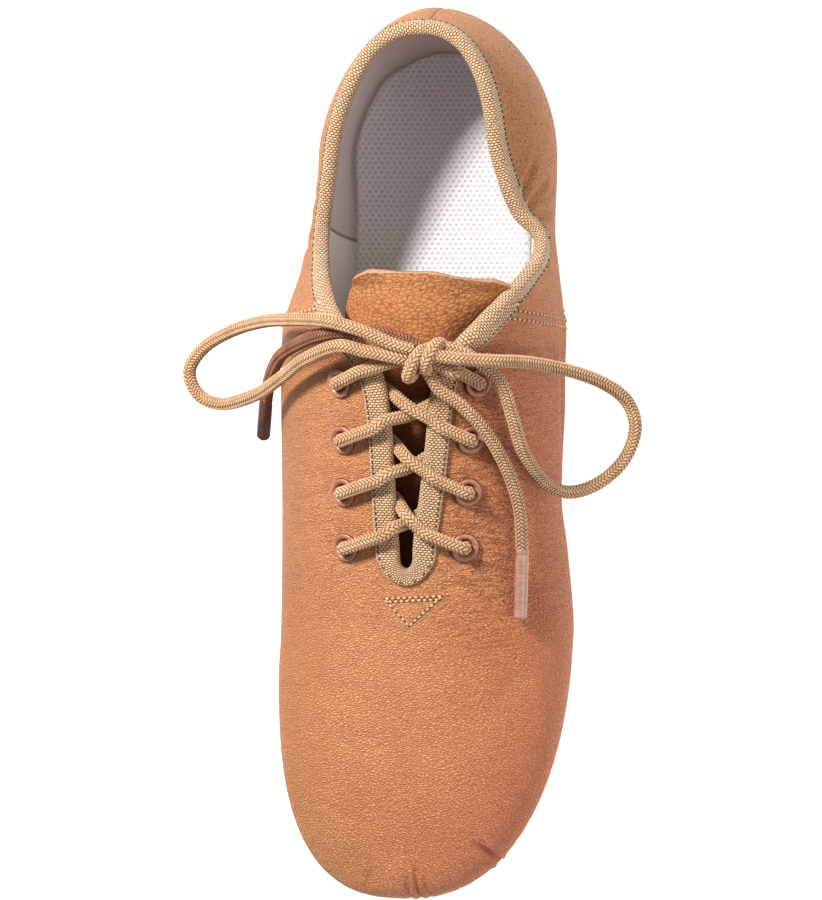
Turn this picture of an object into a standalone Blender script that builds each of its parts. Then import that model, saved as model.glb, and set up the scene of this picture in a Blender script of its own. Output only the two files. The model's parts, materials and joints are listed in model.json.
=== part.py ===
"""A left dance shoe: a soft lace-up jazz shoe with a split sole, standing empty on the floor.

The floor is z = 0. The toe points to -Y, the heel to +Y, and +X is the outer (lateral) side of the foot.
"Along" is the distance from the back of the heel towards the toe. Tables and sizes are in millimetres,
and MM turns them into metres where a mesh is made.
"""

import math
from bisect import bisect_right
from collections import namedtuple
from functools import lru_cache

import bmesh
import bpy
from mathutils import Vector
from mathutils.bvhtree import BVHTree

MM = 0.001
MEDIAL = -1
LATERAL = 1

# Driving dimensions
LENGTH = 250.0  # back of the heel to tip of the toe
WALL = 1.6  # leather with its lining
GAP = 0.3  # between pieces that meet
SOLE_THICKNESS = 3.2
INSOLE_THICKNESS = 2.2
HEEL_HEIGHT = 12.3
LACE_DIAMETER = 4.0
LACE_RADIUS = LACE_DIAMETER / 2

# The last: widest line, seen from above, and the height and squareness of the section under it
Section = namedtuple("Section", "along medial lateral widest square")
LAST = [
    Section(0, -27.2, 38.6, 27.0, 2.7),
    Section(45, -28.4, 38.4, 26.5, 2.7),
    Section(62, -30.8, 37.8, 25.8, 2.6),
    Section(74, -33.8, 38.9, 25.2, 2.5),
    Section(88, -38.0, 40.2, 24.5, 2.4),
    Section(110, -39.6, 40.0, 23.4, 2.5),
    Section(138, -39.9, 38.8, 21.6, 2.8),
    Section(152, -40.2, 40.2, 20.6, 3.0),
    Section(175, -40.9, 41.8, 19.4, 3.0),
    Section(190, -41.8, 41.8, 18.8, 2.9),
    Section(220, -41.8, 41.8, 17.8, 2.6),
    Section(250, -41.8, 41.8, 16.5, 2.2),
]
HEEL_TIP_X = 4.2
HEEL_REACH = 42.0
HEEL_POWER = {MEDIAL: 1.75, LATERAL: 1.95}
TOE_TIP_X = -5.5
TOE_REACH = {MEDIAL: 60.0, LATERAL: 84.0}
TOE_POWER = {MEDIAL: 2.7, LATERAL: 2.25}

# Bottom centre line, from the middle of the heel's rounding to the middle of the toe's rounding
Spine = namedtuple("Spine", "along x height")
SPINE = [
    Spine(30, 4.2, HEEL_HEIGHT + GAP),
    Spine(62, 2.6, HEEL_HEIGHT + GAP),
    Spine(80, 1.0, HEEL_HEIGHT + 1.0),
    Spine(97, 0.2, 11.4),
    Spine(116, 0.0, 7.6),
    Spine(133, 0.0, 4.8),
    Spine(148, 0.0, SOLE_THICKNESS + GAP),
    Spine(200, -1.6, SOLE_THICKNESS + GAP),
    Spine(215, -3.2, 4.6),
]

# Edge of the leather at collar and throat, then the ridge of the vamp. Crown is 1 where the section ends
# level, as on the ridge, and less where the wall still climbs at its edge.
Edge = namedtuple("Edge", "along medial lateral medial_height lateral_height crown")
TOPLINE = [
    Edge(6, -16.0, 27.0, 63.5, 63.5, 0.30),
    Edge(17, -16.6, 26.8, 63.0, 63.0, 0.30),
    Edge(35, -19.6, 26.6, 59.4, 59.4, 0.30),
    Edge(51, -22.6, 29.6, 54.4, 53.6, 0.32),
    Edge(58, -23.8, 32.4, 52.4, 50.0, 0.34),
    Edge(62, -24.3, 36.4, 51.7, 48.4, 0.36),
    Edge(66, -24.3, 38.6, 52.4, 49.4, 0.38),
    Edge(71, -23.7, 38.4, 54.8, 53.2, 0.42),
    Edge(76, -22.6, 35.6, 58.6, 58.2, 0.48),
    Edge(82, -19.9, 31.0, 64.4, 64.4, 0.56),
    Edge(88, -16.0, 25.6, 70.0, 70.0, 0.66),
    Edge(94, -10.6, 20.0, 73.4, 73.4, 0.76),
    Edge(101, -5.2, 14.0, 72.8, 72.8, 0.88),
    Edge(110, -3.0, 11.0, 70.0, 70.0, 1.0),
    Edge(123, -2.4, 8.9, 65.2, 65.2, 1.0),
    Edge(136, -2.5, 6.6, 60.6, 60.6, 1.0),
    Edge(150, -2.3, 3.9, 55.9, 55.9, 1.0),
    Edge(158, -2.2, 3.0, 53.4, 53.4, 1.0),
    Edge(175, 0.2, 0.2, 48.6, 48.6, 1.0),
    Edge(190, -0.4, -0.4, 44.2, 44.2, 1.0),
    Edge(205, -1.4, -1.4, 40.2, 40.2, 1.0),
    Edge(220, -3.0, -3.0, 35.8, 35.8, 1.0),
    Edge(230, -4.4, -4.4, 32.0, 32.0, 1.0),
    Edge(237, -5.5, -5.5, 28.6, 28.6, 1.0),
]
COLLAR_SET_IN = 6.0  # the collar's back lies this far in front of the heel's bulge
COLLAR_TIP_X = 6.5
COLLAR_REACH = 35.0
COLLAR_POWER = 2.3
THROAT_TOP = 94.0
THROAT_BLEND = 16.0  # past its top, sections are drawn to the ridge and cut by the slit
THROAT_END = 158.0
THROAT_ROUND = 4.0
TOE_SET_BACK = 13.0  # the ridge reaches the nose this far behind the tip
TOE_BLEND = 195.0  # where the ridge starts to lag behind the widest line
HANDLE = 0.55  # length of the section's Bezier handles
SLOPE_STEP = 0.5
SEARCHES = 40
SHARP_ANGLE = 40.0

# Where sections are taken: runs with even steps, finer where the form turns quickly
Run = namedtuple("Run", "start end steps")
HEEL_STEPS = 8
TOE_START = 190.0
TOE_STEPS = 10
THROAT_FINE = 150.0
THROAT_STEPS = 4
VAMP = [THROAT_END, 163.0, 170.0, 180.0]
RUNS = [
    Run(HEEL_REACH, 57, 3),
    Run(57, 73, 7),
    Run(73, 105, 7),
    Run(105, THROAT_FINE, 5),
]
LOW_STEPS = 5
HIGH_STEPS = 6

# Binding: a folded tape over the edge
TAPE = 0.9
TAPE_GAP = 0.5  # room between tape and leather
TAPE_LINING_GAP = 1.1  # and at the end of its inner leg
TAPE_OUTER_LEG = 6.0
TAPE_INNER_LEG = 5.0
TAPE_BEND_OUT = 0.75
TAPE_BEND_UP = 0.35

INSOLE_SHARES = [0.0, 0.2, 0.4, 0.6]  # of the bottom, from its centre line

# Tongue
TongueRow = namedtuple("TongueRow", "along x crest half_width drop")
TONGUE = [
    TongueRow(75, 7.2, 76.6, 11.0, 3.4),
    TongueRow(77, 6.8, 75.9, 17.5, 8.6),
    TongueRow(81, 6.3, 74.4, 20.5, 12.0),
    TongueRow(88, 5.6, 71.9, 21.5, 13.0),
    TongueRow(98, 5.0, 68.4, 21.5, 12.6),
    TongueRow(112, 4.0, 63.4, 21.0, 11.0),
    TongueRow(130, 2.6, 57.2, 19.0, 8.0),
    TongueRow(148, 1.2, 51.4, 16.0, 5.0),
    TongueRow(157, 0.7, 49.2, 14.0, 3.4),
    TongueRow(163, 0.5, 48.3, 12.0, 2.4),
    TongueRow(168, 0.3, 48.2, 10.0, 1.5),
    TongueRow(176, 0.2, 46.2, 7.0, 0.9),
]
TONGUE_THICKNESS = 1.6
TONGUE_STEPS = 8

# Forefoot sole and heel block, seen from above; the ends are superellipses
SOLE_MIDDLE = 183.0
SOLE_HALF_LENGTH = 48.5
SOLE_HALF_WIDTH = 39.6
SOLE_POWER = 2.45
SOLE_SLANT = 0.22  # the lateral side reaches further back
SOLE_X = 0.2
SOLE_TOP = 13.0
SOLE_FLAT = 0.45  # the floor takes this much off the rounded bottom
HEEL_MIDDLE = 40.0
HEEL_BACK = 35.0
HEEL_FRONT = 25.0
HEEL_HALF_WIDTH = 29.6
HEEL_BACK_POWER = 2.1
HEEL_FRONT_POWER = 5.0
BREAST_SLANT = 8.0  # the breast leans forward by this much over the heel's height
HEEL_TOP = 20.0
OUTLINE_STEPS = 36
OPENING_SHARE = 0.72  # the upper's openings underneath, as a share of sole and heel
FOREFOOT_OPENING = (-4.0, 11.0)  # from and to this height
HEEL_OPENING = (4.0, 22.0)

# Eyelets: a spool through the wall
EYELET_HOLE = 2.25
EYELET_BARREL = 2.75
EYELET_FLANGE = 4.1
EYELET_INNER_FLANGE = 3.6
EYELET_RIM = 0.65
EYELET_SEAT = 0.6  # room inside, where the wall is hollow under the flat flange
EYELET_SIDES = 8
EYELET_CROWN = 0.75
EYELET_CUT_DEPTH = 10.0
EyeletRow = namedtuple("EyeletRow", "along medial lateral")
EYELETS = [
    EyeletRow(105.4, -16.0, 22.6),
    EyeletRow(121.1, -15.9, 20.0),
    EyeletRow(135.7, -16.6, 18.4),
    EyeletRow(151.1, -16.8, 16.8),
]

# Lace: the bow's route, points chosen by hand (x, y, z)
KNOT_CENTRE = (7.6, 26.8, 81.0)
KNOT_SIZE = (10.5, 12.0, 8.0)
KNOT_SEGMENTS = 10
KNOT_RINGS = 6
LOOP_MEDIAL = [
    (1.4, 30.4, 82.4), (-5.2, 33.4, 83.0), (-11.4, 35.4, 82.4), (-18.4, 36.8, 79.0), (-30.0, 37.2, 68.0),
    (-40.0, 36.8, 54.0), (-51.0, 34.4, 41.0), (-60.5, 29.8, 33.4), (-65.4, 23.2, 30.0), (-62.4, 16.4, 30.8),
    (-54.6, 13.9, 35.6), (-43.0, 16.6, 47.0), (-33.4, 21.4, 59.6), (-25.2, 26.2, 70.0), (-14.4, 29.8, 78.6),
    (-6.4, 28.4, 80.6), (1.8, 26.8, 80.9),
]
LOOP_LATERAL = [
    (13.4, 27.1, 81.8), (21.0, 26.2, 81.0), (29.6, 25.7, 75.0), (37.2, 25.2, 62.4), (46.4, 22.9, 48.6),
    (53.9, 19.5, 38.4), (59.2, 14.5, 31.2), (61.0, 6.9, 27.6), (57.5, -2.1, 27.4), (50.4, -8.6, 30.2),
    (43.0, -10.8, 35.4), (37.8, -7.7, 43.4), (33.8, 0.2, 53.6), (32.0, 10.5, 62.2), (30.2, 18.6, 67.8),
    (26.8, 23.8, 72.4), (22.2, 27.4, 76.4), (18.2, 29.8, 78.0), (14.2, 31.4, 79.2),
]
END_MEDIAL = [
    (2.6, 32.2, 76.8), (-6.6, 33.8, 77.4), (-13.4, 33.8, 77.2), (-19.6, 33.0, 74.2), (-26.4, 31.0, 67.8),
    (-33.6, 28.0, 57.4), (-38.0, 24.4, 47.0), (-41.0, 20.2, 38.6), (-43.2, 15.6, 31.6),
]
END_LATERAL = [
    (13.6, 17.8, 74.6), (18.8, 13.6, 70.8), (24.8, 6.2, 64.2), (29.4, -4.3, 55.6), (31.8, -15.0, 49.4),
    (32.2, -26.4, 46.8),
]
AGLET_TIP_MEDIAL = (-46.4, 4.8, 18.6)
AGLET_TIP_LATERAL = (31.0, -46.0, 43.0)
AGLET_RADIUS = 1.9
CORD_POINT_SPACING = 9.0
ROUTE_STEPS = 12
CROSS_TIP = 3.6  # a crossing's end past the middle of the throat
CROSS_SINK = 4.0  # the top crossing dips into the throat, under the knot
CROSS_LEAN = 3.0  # a strand meets the slit's edge this far behind its eyelet
CROSS_LIFT = 0.5

PARTS = "dance_shoe"
CUTTERS = "dance_shoe_cutters"


def clear_scene():
    for item in list(bpy.data.objects):
        bpy.data.objects.remove(item, do_unlink=True)
    for name in (PARTS, CUTTERS):
        bpy.context.scene.collection.children.link(bpy.data.collections.new(name))


def material(name, colour, roughness, metallic=0.0):
    made = bpy.data.materials.new(name)
    made.use_nodes = True
    shader = made.node_tree.nodes["Principled BSDF"]
    shader.inputs["Base Color"].default_value = (*colour, 1.0)
    shader.inputs["Roughness"].default_value = roughness
    shader.inputs["Metallic"].default_value = metallic
    return made


def place(item, finish=None):
    """Put an object in the parts' collection, or with no finish among the cutters."""
    bpy.data.collections[PARTS if finish else CUTTERS].objects.link(item)
    if finish:
        item.data.materials.append(finish)
    else:
        item.hide_render = True
        item.display_type = "WIRE"
    return item


def mesh_object(name, shape, finish=None, smooth=True):
    """An object from a bmesh in millimetres."""
    bmesh.ops.scale(shape, vec=(MM, MM, MM), verts=shape.verts)
    mesh = bpy.data.meshes.new(name)
    shape.to_mesh(mesh)
    shape.free()
    if smooth:
        mesh.shade_smooth()
        mesh.set_sharp_from_angle(angle=math.radians(SHARP_ANGLE))
    return place(bpy.data.objects.new(name, mesh), finish)


def cut(item, cutter, operation="DIFFERENCE"):
    change = item.modifiers.new(cutter.name, "BOOLEAN")
    change.operation = operation
    change.solver = "EXACT"
    change.object = cutter


class Curve:
    """A smooth curve through one column of a table, which doesn't overshoot between its rows."""

    def __init__(self, rows, column):
        self.at = [row.along for row in rows]
        self.value = [getattr(row, column) for row in rows]
        pairs = zip(zip(self.at, self.value), zip(self.at[1:], self.value[1:]))
        steps = [(y1 - y0) / (x1 - x0) for (x0, y0), (x1, y1) in pairs]
        self.slope = [steps[0]]
        for before, after in zip(steps, steps[1:]):
            same_way = before * after > 0
            self.slope.append(2 * before * after / (before + after) if same_way else 0.0)
        self.slope.append(steps[-1])

    def __call__(self, along):
        along = min(max(along, self.at[0]), self.at[-1])
        i = min(bisect_right(self.at, along), len(self.at) - 1) - 1
        width = self.at[i + 1] - self.at[i]
        t = (along - self.at[i]) / width
        start = self.value[i] * (1 + 2 * t) + self.slope[i] * width * t
        end = self.value[i + 1] * (3 - 2 * t) - self.slope[i + 1] * width * (1 - t)
        return start * (1 - t) ** 2 + end * t**2


WIDEST_X = {MEDIAL: Curve(LAST, "medial"), LATERAL: Curve(LAST, "lateral")}
WIDEST_Z = Curve(LAST, "widest")
SQUARE = Curve(LAST, "square")
SPINE_X = Curve(SPINE, "x")
SPINE_Z = Curve(SPINE, "height")
EDGE_X = {MEDIAL: Curve(TOPLINE, "medial"), LATERAL: Curve(TOPLINE, "lateral")}
EDGE_Z = {MEDIAL: Curve(TOPLINE, "medial_height"), LATERAL: Curve(TOPLINE, "lateral_height")}
CROWN = Curve(TOPLINE, "crown")


def y_of(along):
    return LENGTH / 2 - along


def rounded(distance, reach, power):
    """Share of the full width at a distance from a rounded end: 0 at its tip, 1 past its reach."""
    left = min(1.0, max(0.0, 1.0 - distance / reach))
    return (1.0 - left**power) ** (1.0 / power)


def widest_point(side, along):
    x = WIDEST_X[side](along)
    x = HEEL_TIP_X + (x - HEEL_TIP_X) * rounded(along, HEEL_REACH, HEEL_POWER[side])
    x = TOE_TIP_X + (x - TOE_TIP_X) * rounded(LENGTH - along, TOE_REACH[side], TOE_POWER[side])
    return Vector((x, y_of(along), WIDEST_Z(along)))


def spine_point(along):
    """The bottom centre point of a section; near heel and toe the sections fan out from the spine's ends."""
    start, end = SPINE[0].along, SPINE[-1].along
    here = start + (end - start) * along / LENGTH
    return Vector((SPINE_X(here), y_of(here), SPINE_Z(here)))


def top_along(along):
    """Where a section meets the edge or ridge: the collar lies inside the heel, the ridge behind the toe."""
    heel = max(0.0, 1.0 - along / HEEL_REACH)
    toe = max(0.0, (along - TOE_BLEND) / (LENGTH - TOE_BLEND))
    return along + COLLAR_SET_IN * heel**2 - TOE_SET_BACK * toe**2


def ridge_x(here):
    return (EDGE_X[MEDIAL](here) + EDGE_X[LATERAL](here)) / 2


def aim_point(side, along):
    """Where a section's curve is drawn to: the collar's edge, and past the top of the throat the ridge."""
    here = top_along(along)
    x = EDGE_X[side](here)
    x = COLLAR_TIP_X + (x - COLLAR_TIP_X) * rounded(here - COLLAR_SET_IN, COLLAR_REACH, COLLAR_POWER)
    closing = min(1.0, max(0.0, (here - THROAT_TOP) / THROAT_BLEND))
    x += (ridge_x(here) - x) * closing**2 * (3 - 2 * closing)
    return Vector((x, y_of(here), EDGE_Z[side](here)))


def bezier(start, first, second, end, t):
    left = 1.0 - t
    return start * left**3 + 3 * first * t * left**2 + 3 * second * t**2 * left + end * t**3


def ridge_slope(along):
    """How steeply the ridge rises behind the toe, so that both sides meet on it without a crease."""
    if along < TOE_BLEND:
        return 0.0
    here = top_along(along)
    return (EDGE_Z[MEDIAL](here - SLOPE_STEP) - EDGE_Z[MEDIAL](here + SLOPE_STEP)) / (2 * SLOPE_STEP)


def high_point(side, along, t):
    """A point of a section above the widest line, at t from 0 there to 1 where the section is drawn to."""
    widest = widest_point(side, along)
    across = aim_point(side, along) - widest
    crown = CROWN(top_along(along))
    climb = 1.0 - crown + crown * ridge_slope(along) * across.y / across.z
    inwards = bezier(0.0, 0.0, 1.0 - HANDLE * crown, 1.0, t)
    up = bezier(0.0, HANDLE, 1.0 - HANDLE * climb, 1.0, t)
    return widest + Vector((across.x * inwards, across.y * inwards, across.z * up))


@lru_cache(maxsize=None)
def edge_at(side, along):
    """The t of a section's edge: 1, or less where the throat's slit cuts the section short."""
    here = top_along(along)
    if not THROAT_TOP < here < THROAT_END:
        return 1.0
    middle = ridge_x(here)
    slit = middle + (EDGE_X[side](here) - middle) * rounded(THROAT_END - here, THROAT_ROUND, 2.0)
    low, high = 0.0, 1.0
    for _ in range(SEARCHES):
        t = (low + high) / 2
        if (high_point(side, along, t).x - slit) * side > 0:
            low = t
        else:
            high = t
    return t


def section_point(side, along, share):
    """A point of the outer surface: share 0 is the bottom centre, 1 the widest line, 2 the edge or ridge."""
    if share <= 1.0:
        bottom = spine_point(along)
        across = widest_point(side, along) - bottom
        square = SQUARE(along)
        angle = share * math.pi / 2
        out = math.sin(angle) ** (2 / square)
        up = 1.0 - max(0.0, math.cos(angle)) ** (2 / square)
        return bottom + Vector((across.x * out, across.y * out, across.z * up))
    return high_point(side, along, (share - 1.0) * edge_at(side, along))


def edge_point(side, along):
    return section_point(side, along, 2.0)


def surface_at(side, along, x):
    """The point of a section's upper half at a given x, and the surface's normal there."""
    low, high = 1.0, 2.0
    for _ in range(SEARCHES):
        share = (low + high) / 2
        if (section_point(side, along, share).x - x) * side > 0:
            low = share
        else:
            high = share
    step = 0.02
    lengthwise = section_point(side, along + 1.0, share) - section_point(side, along - 1.0, share)
    upwards = section_point(side, along, share + step) - section_point(side, along, share - step)
    return section_point(side, along, share), side * upwards.cross(lengthwise).normalized()


def stations():
    quarter = math.pi / 2
    places = [HEEL_REACH * (1.0 - math.cos(quarter * i / HEEL_STEPS)) for i in range(HEEL_STEPS)]
    for run in RUNS:
        places += [run.start + (run.end - run.start) * i / run.steps for i in range(run.steps)]
    slit = THROAT_END - THROAT_FINE
    places += [THROAT_FINE + slit * math.sin(quarter * i / THROAT_STEPS) for i in range(THROAT_STEPS)]
    toe = LENGTH - TOE_START
    places += VAMP + [TOE_START + toe * math.sin(quarter * i / TOE_STEPS) for i in range(TOE_STEPS + 1)]
    return places


STATIONS = stations()
LOW_SHARES = [i / LOW_STEPS for i in range(LOW_STEPS + 1)]
HIGH_SHARES = [1.0 + i / HIGH_STEPS for i in range(1, HIGH_STEPS + 1)]


def loft(places, shares, lid=False):
    """A surface through the sections of both sides, welded where they meet. A lid closes it at the top."""
    shape = bmesh.new()
    for side in (MEDIAL, LATERAL):
        rows = []
        for along in places:
            points = [section_point(side, along, share) for share in shares]
            if lid:
                middle = spine_point(along)
                points.append(Vector((middle.x, middle.y, points[-1].z)))
            rows.append([shape.verts.new(point) for point in points])
        for back, front in zip(rows, rows[1:]):
            for j in range(len(back) - 1):
                ring = [back[j], back[j + 1], front[j + 1], front[j]]
                shape.faces.new(ring if side == LATERAL else ring[::-1])
    bmesh.ops.remove_doubles(shape, verts=shape.verts, dist=0.01)
    bmesh.ops.dissolve_degenerate(shape, edges=shape.edges, dist=0.01)
    shape.normal_update()
    return shape


def swell(shape, distance):
    """Move every point outwards along its normal."""
    moves = [(vertex, vertex.normal * distance) for vertex in shape.verts]
    for vertex, move in moves:
        vertex.co += move


def bowl(name, distance):
    """A closed form of the bottom of the last, grown by a distance, to cut sole and heel with."""
    shape = loft(STATIONS, LOW_SHARES, lid=True)
    swell(shape, distance)
    return mesh_object(name, shape)


def thicken(item, thickness):
    """Give an open surface a wall on its inner side."""
    wall = item.modifiers.new("wall", "SOLIDIFY")
    wall.thickness = thickness * MM
    wall.offset = -1.0
    wall.use_even_offset = True
    wall.use_quality_normals = True


def superellipse(half_x, half_y, power, angle):
    c, s = math.cos(angle), math.sin(angle)
    reach = (abs(c) ** power + abs(s) ** power) ** (-1 / power)
    return half_x * reach * c, half_y * reach * s


def sole_outline(share=1.0):
    points = []
    for i in range(OUTLINE_STEPS):
        angle = 2 * math.pi * i / OUTLINE_STEPS
        x, y = superellipse(SOLE_HALF_WIDTH * share, SOLE_HALF_LENGTH * share, SOLE_POWER, angle)
        points.append(Vector((SOLE_X + x, y_of(SOLE_MIDDLE) + y + SOLE_SLANT * x, 0.0)))
    return points


def heel_outline(share=1.0, breast=0.0):
    points = []
    for i in range(OUTLINE_STEPS):
        angle = 2 * math.pi * i / OUTLINE_STEPS
        if math.sin(angle) >= 0:
            x, y = superellipse(HEEL_HALF_WIDTH * share, HEEL_BACK * share, HEEL_BACK_POWER, angle)
        else:
            front = HEEL_FRONT * share + breast
            x, y = superellipse(HEEL_HALF_WIDTH * share, front, HEEL_FRONT_POWER, angle)
        points.append(Vector((HEEL_TIP_X + x, y_of(HEEL_MIDDLE) + y, 0.0)))
    return points


def prism(name, lower, upper, bottom, top, finish=None):
    """A solid between two outlines with as many points, at two heights."""
    shape = bmesh.new()
    ring_low = [shape.verts.new((p.x, p.y, bottom)) for p in lower]
    ring_high = [shape.verts.new((p.x, p.y, top)) for p in upper]
    edges = []
    for ring in (ring_low, ring_high):
        edges += [shape.edges.new((a, b)) for a, b in zip(ring, ring[1:] + ring[:1])]
    bmesh.ops.bridge_loops(shape, edges=edges)
    shape.faces.new(ring_low)
    shape.faces.new(ring_high)
    bmesh.ops.recalc_face_normals(shape, faces=shape.faces)
    return mesh_object(name, shape, finish)


def eyelet_places():
    """(name, point, normal) of each eyelet's middle on the outer surface."""
    found = []
    for i, row in enumerate(EYELETS, start=1):
        for side, word, x in ((MEDIAL, "medial", row.medial), (LATERAL, "lateral", row.lateral)):
            point, normal = surface_at(side, row.along, x)
            found.append((f"eyelet_{word}_{i}", point, normal))
    return found


def turn_to(item, point, normal):
    item.location = point * MM
    item.rotation_mode = "QUATERNION"
    item.rotation_quaternion = normal.to_track_quat("Z", "Y")
    return item


def make_upper(leather):
    upper = mesh_object("upper", loft(STATIONS, LOW_SHARES + HIGH_SHARES), leather)
    thicken(upper, WALL)
    forefoot = sole_outline(OPENING_SHARE)
    cut(upper, prism("opening_forefoot", forefoot, forefoot, *FOREFOOT_OPENING))
    heel = heel_outline(OPENING_SHARE)
    cut(upper, prism("opening_heel", heel, heel, *HEEL_OPENING))
    for name, point, normal in eyelet_places():
        shape = bmesh.new()
        radius = EYELET_BARREL + GAP
        bmesh.ops.create_cone(
            shape, cap_ends=True, segments=EYELET_SIDES,
            radius1=radius, radius2=radius, depth=EYELET_CUT_DEPTH,
        )
        cut(upper, turn_to(mesh_object(f"hole_{name}", shape), point, normal))
    return upper


def make_binding(tape):
    """A folded tape that follows the edge of the leather, as one closed loop."""
    surface = loft(STATIONS, LOW_SHARES + HIGH_SHARES)
    skin = BVHTree.FromBMesh(surface)
    surface.free()
    open_places = [along for along in STATIONS if top_along(along) <= THROAT_END]
    route = [(MEDIAL, along) for along in open_places]
    route += [(LATERAL, along) for along in reversed(open_places[1:-1])]
    points = [edge_point(side, along) for side, along in route]
    count = len(points)
    tangents = [(points[(i + 1) % count] - points[i - 1]).normalized() for i in range(count)]
    normals = []
    for (side, along), point, tangent in zip(route, points, tangents):
        downwards = section_point(side, along, HIGH_SHARES[-2]) - point
        normals.append(tangent.cross(downwards).normalized() * -1.0)
    end = open_places.index(THROAT_END)
    normals[end] = (normals[end - 1] + normals[end + 1]).normalized()

    outside = TAPE_GAP + TAPE
    inside = -(WALL + TAPE_GAP)
    lining = -(WALL + TAPE_LINING_GAP)
    profile = [
        (TAPE_OUTER_LEG, outside), (TAPE_GAP, outside),
        (-TAPE_BEND_OUT * outside, TAPE_BEND_UP * outside),
        (-outside, -WALL / 2),
        (-TAPE_BEND_OUT * outside, -WALL - TAPE_BEND_UP * outside),
        (TAPE_GAP, inside - TAPE),
        (TAPE_INNER_LEG, lining - TAPE), (TAPE_INNER_LEG, lining), (-TAPE_GAP, inside),
        (-TAPE_GAP, TAPE_GAP), (TAPE_OUTER_LEG, TAPE_GAP),
    ]
    shape = bmesh.new()
    rings = []
    for point, tangent, normal in zip(points, tangents, normals):
        into = tangent.cross(normal).normalized()
        ring = []
        for depth, height in profile:
            base, up = point + into * depth, normal
            if depth > TAPE_GAP:
                base, up, _, _ = skin.find_nearest(base)
            ring.append(shape.verts.new(base + up * height))
        rings.append(ring)
    for ring, ahead in zip(rings, rings[1:] + rings[:1]):
        for j in range(len(profile)):
            k = (j + 1) % len(profile)
            shape.faces.new([ring[j], ring[k], ahead[k], ahead[j]])
    bmesh.ops.recalc_face_normals(shape, faces=shape.faces)
    return mesh_object("binding", shape, tape)


def make_tongue(leather):
    columns = {name: Curve(TONGUE, name) for name in ("x", "crest", "half_width", "drop")}
    shape = bmesh.new()
    rows = []
    for place_along in [row.along for row in TONGUE]:
        x, crest, half, drop = (columns[name](place_along) for name in ("x", "crest", "half_width", "drop"))
        row = []
        for i in range(TONGUE_STEPS + 1):
            u = 2.0 * i / TONGUE_STEPS - 1.0
            row.append(shape.verts.new((x + half * u, y_of(place_along), crest - drop * u * u)))
        rows.append(row)
    for back, front in zip(rows, rows[1:]):
        for j in range(TONGUE_STEPS):
            shape.faces.new([back[j], front[j], front[j + 1], back[j + 1]])
    tongue = mesh_object("tongue", shape, leather)
    thicken(tongue, TONGUE_THICKNESS)
    return tongue


def make_insole(sock):
    shape = loft(STATIONS[::2] + [LENGTH], INSOLE_SHARES)
    swell(shape, -(WALL + 2 * GAP))
    insole = mesh_object("insole", shape, sock)
    thicken(insole, INSOLE_THICKNESS)
    return insole


def make_forefoot_sole(rubber):
    outline = sole_outline()
    sole = prism("forefoot_sole", outline, outline, 0.0, SOLE_TOP, rubber)
    cut(sole, bowl("sole_outer_form", SOLE_THICKNESS + GAP + SOLE_FLAT), "INTERSECT")
    cut(sole, bowl("sole_seat", GAP))
    return sole


def make_heel(foam):
    slant = BREAST_SLANT * HEEL_TOP / HEEL_HEIGHT
    heel = prism("heel", heel_outline(), heel_outline(breast=slant), 0.0, HEEL_TOP, foam)
    cut(heel, bowl("heel_seat", GAP))
    return heel


def make_eyelets(metal):
    seat = -(WALL + EYELET_SEAT)
    crown = GAP + EYELET_RIM
    profile = [
        (EYELET_CROWN * EYELET_FLANGE, crown), (EYELET_FLANGE, GAP + EYELET_RIM / 3), (EYELET_FLANGE, GAP),
        (EYELET_BARREL, GAP), (EYELET_BARREL, seat), (EYELET_INNER_FLANGE, seat),
        (EYELET_INNER_FLANGE, seat - EYELET_RIM), (EYELET_HOLE, seat - EYELET_RIM),
        (EYELET_HOLE, EYELET_CROWN * crown),
    ]
    shape = bmesh.new()
    ring = [shape.verts.new((radius, 0.0, height)) for radius, height in profile]
    for a, b in zip(ring, ring[1:] + ring[:1]):
        shape.edges.new((a, b))
    bmesh.ops.scale(shape, vec=(MM, MM, MM), verts=shape.verts)
    mesh = bpy.data.meshes.new("eyelet")
    shape.to_mesh(mesh)
    shape.free()
    mesh.materials.append(metal)
    for name, point, normal in eyelet_places():
        eyelet = bpy.data.objects.new(name, mesh)
        bpy.data.collections[PARTS].objects.link(eyelet)
        screw = eyelet.modifiers.new("turned", "SCREW")
        screw.steps = EYELET_SIDES
        screw.render_steps = EYELET_SIDES
        screw.use_merge_vertices = True
        screw.merge_threshold = 0.00001
        turn_to(eyelet, point, normal)


def smooth_route(points):
    """Evenly spaced points on a smooth curve through a route's own points."""
    points = [Vector(point) for point in points]
    before = 2 * points[0] - points[1]
    after = 2 * points[-1] - points[-2]
    padded = [before] + points + [after]
    fine = []
    for p0, p1, p2, p3 in zip(padded, padded[1:], padded[2:], padded[3:]):
        for i in range(ROUTE_STEPS):
            t = i / ROUTE_STEPS
            bend = (2 * p0 - 5 * p1 + 4 * p2 - p3) * t**2 + (3 * p1 - p0 - 3 * p2 + p3) * t**3
            fine.append((2 * p1 + (p2 - p0) * t + bend) / 2)
    fine.append(points[-1])
    lengths = [0.0]
    for a, b in zip(fine, fine[1:]):
        lengths.append(lengths[-1] + (b - a).length)
    steps = max(2, round(lengths[-1] / CORD_POINT_SPACING))
    route = []
    for i in range(steps + 1):
        target = lengths[-1] * i / steps
        k = min(bisect_right(lengths, target), len(fine) - 1)
        share = (target - lengths[k - 1]) / max(lengths[k] - lengths[k - 1], 1e-9)
        route.append(fine[k - 1].lerp(fine[k], min(1.0, share)))
    return route


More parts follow.
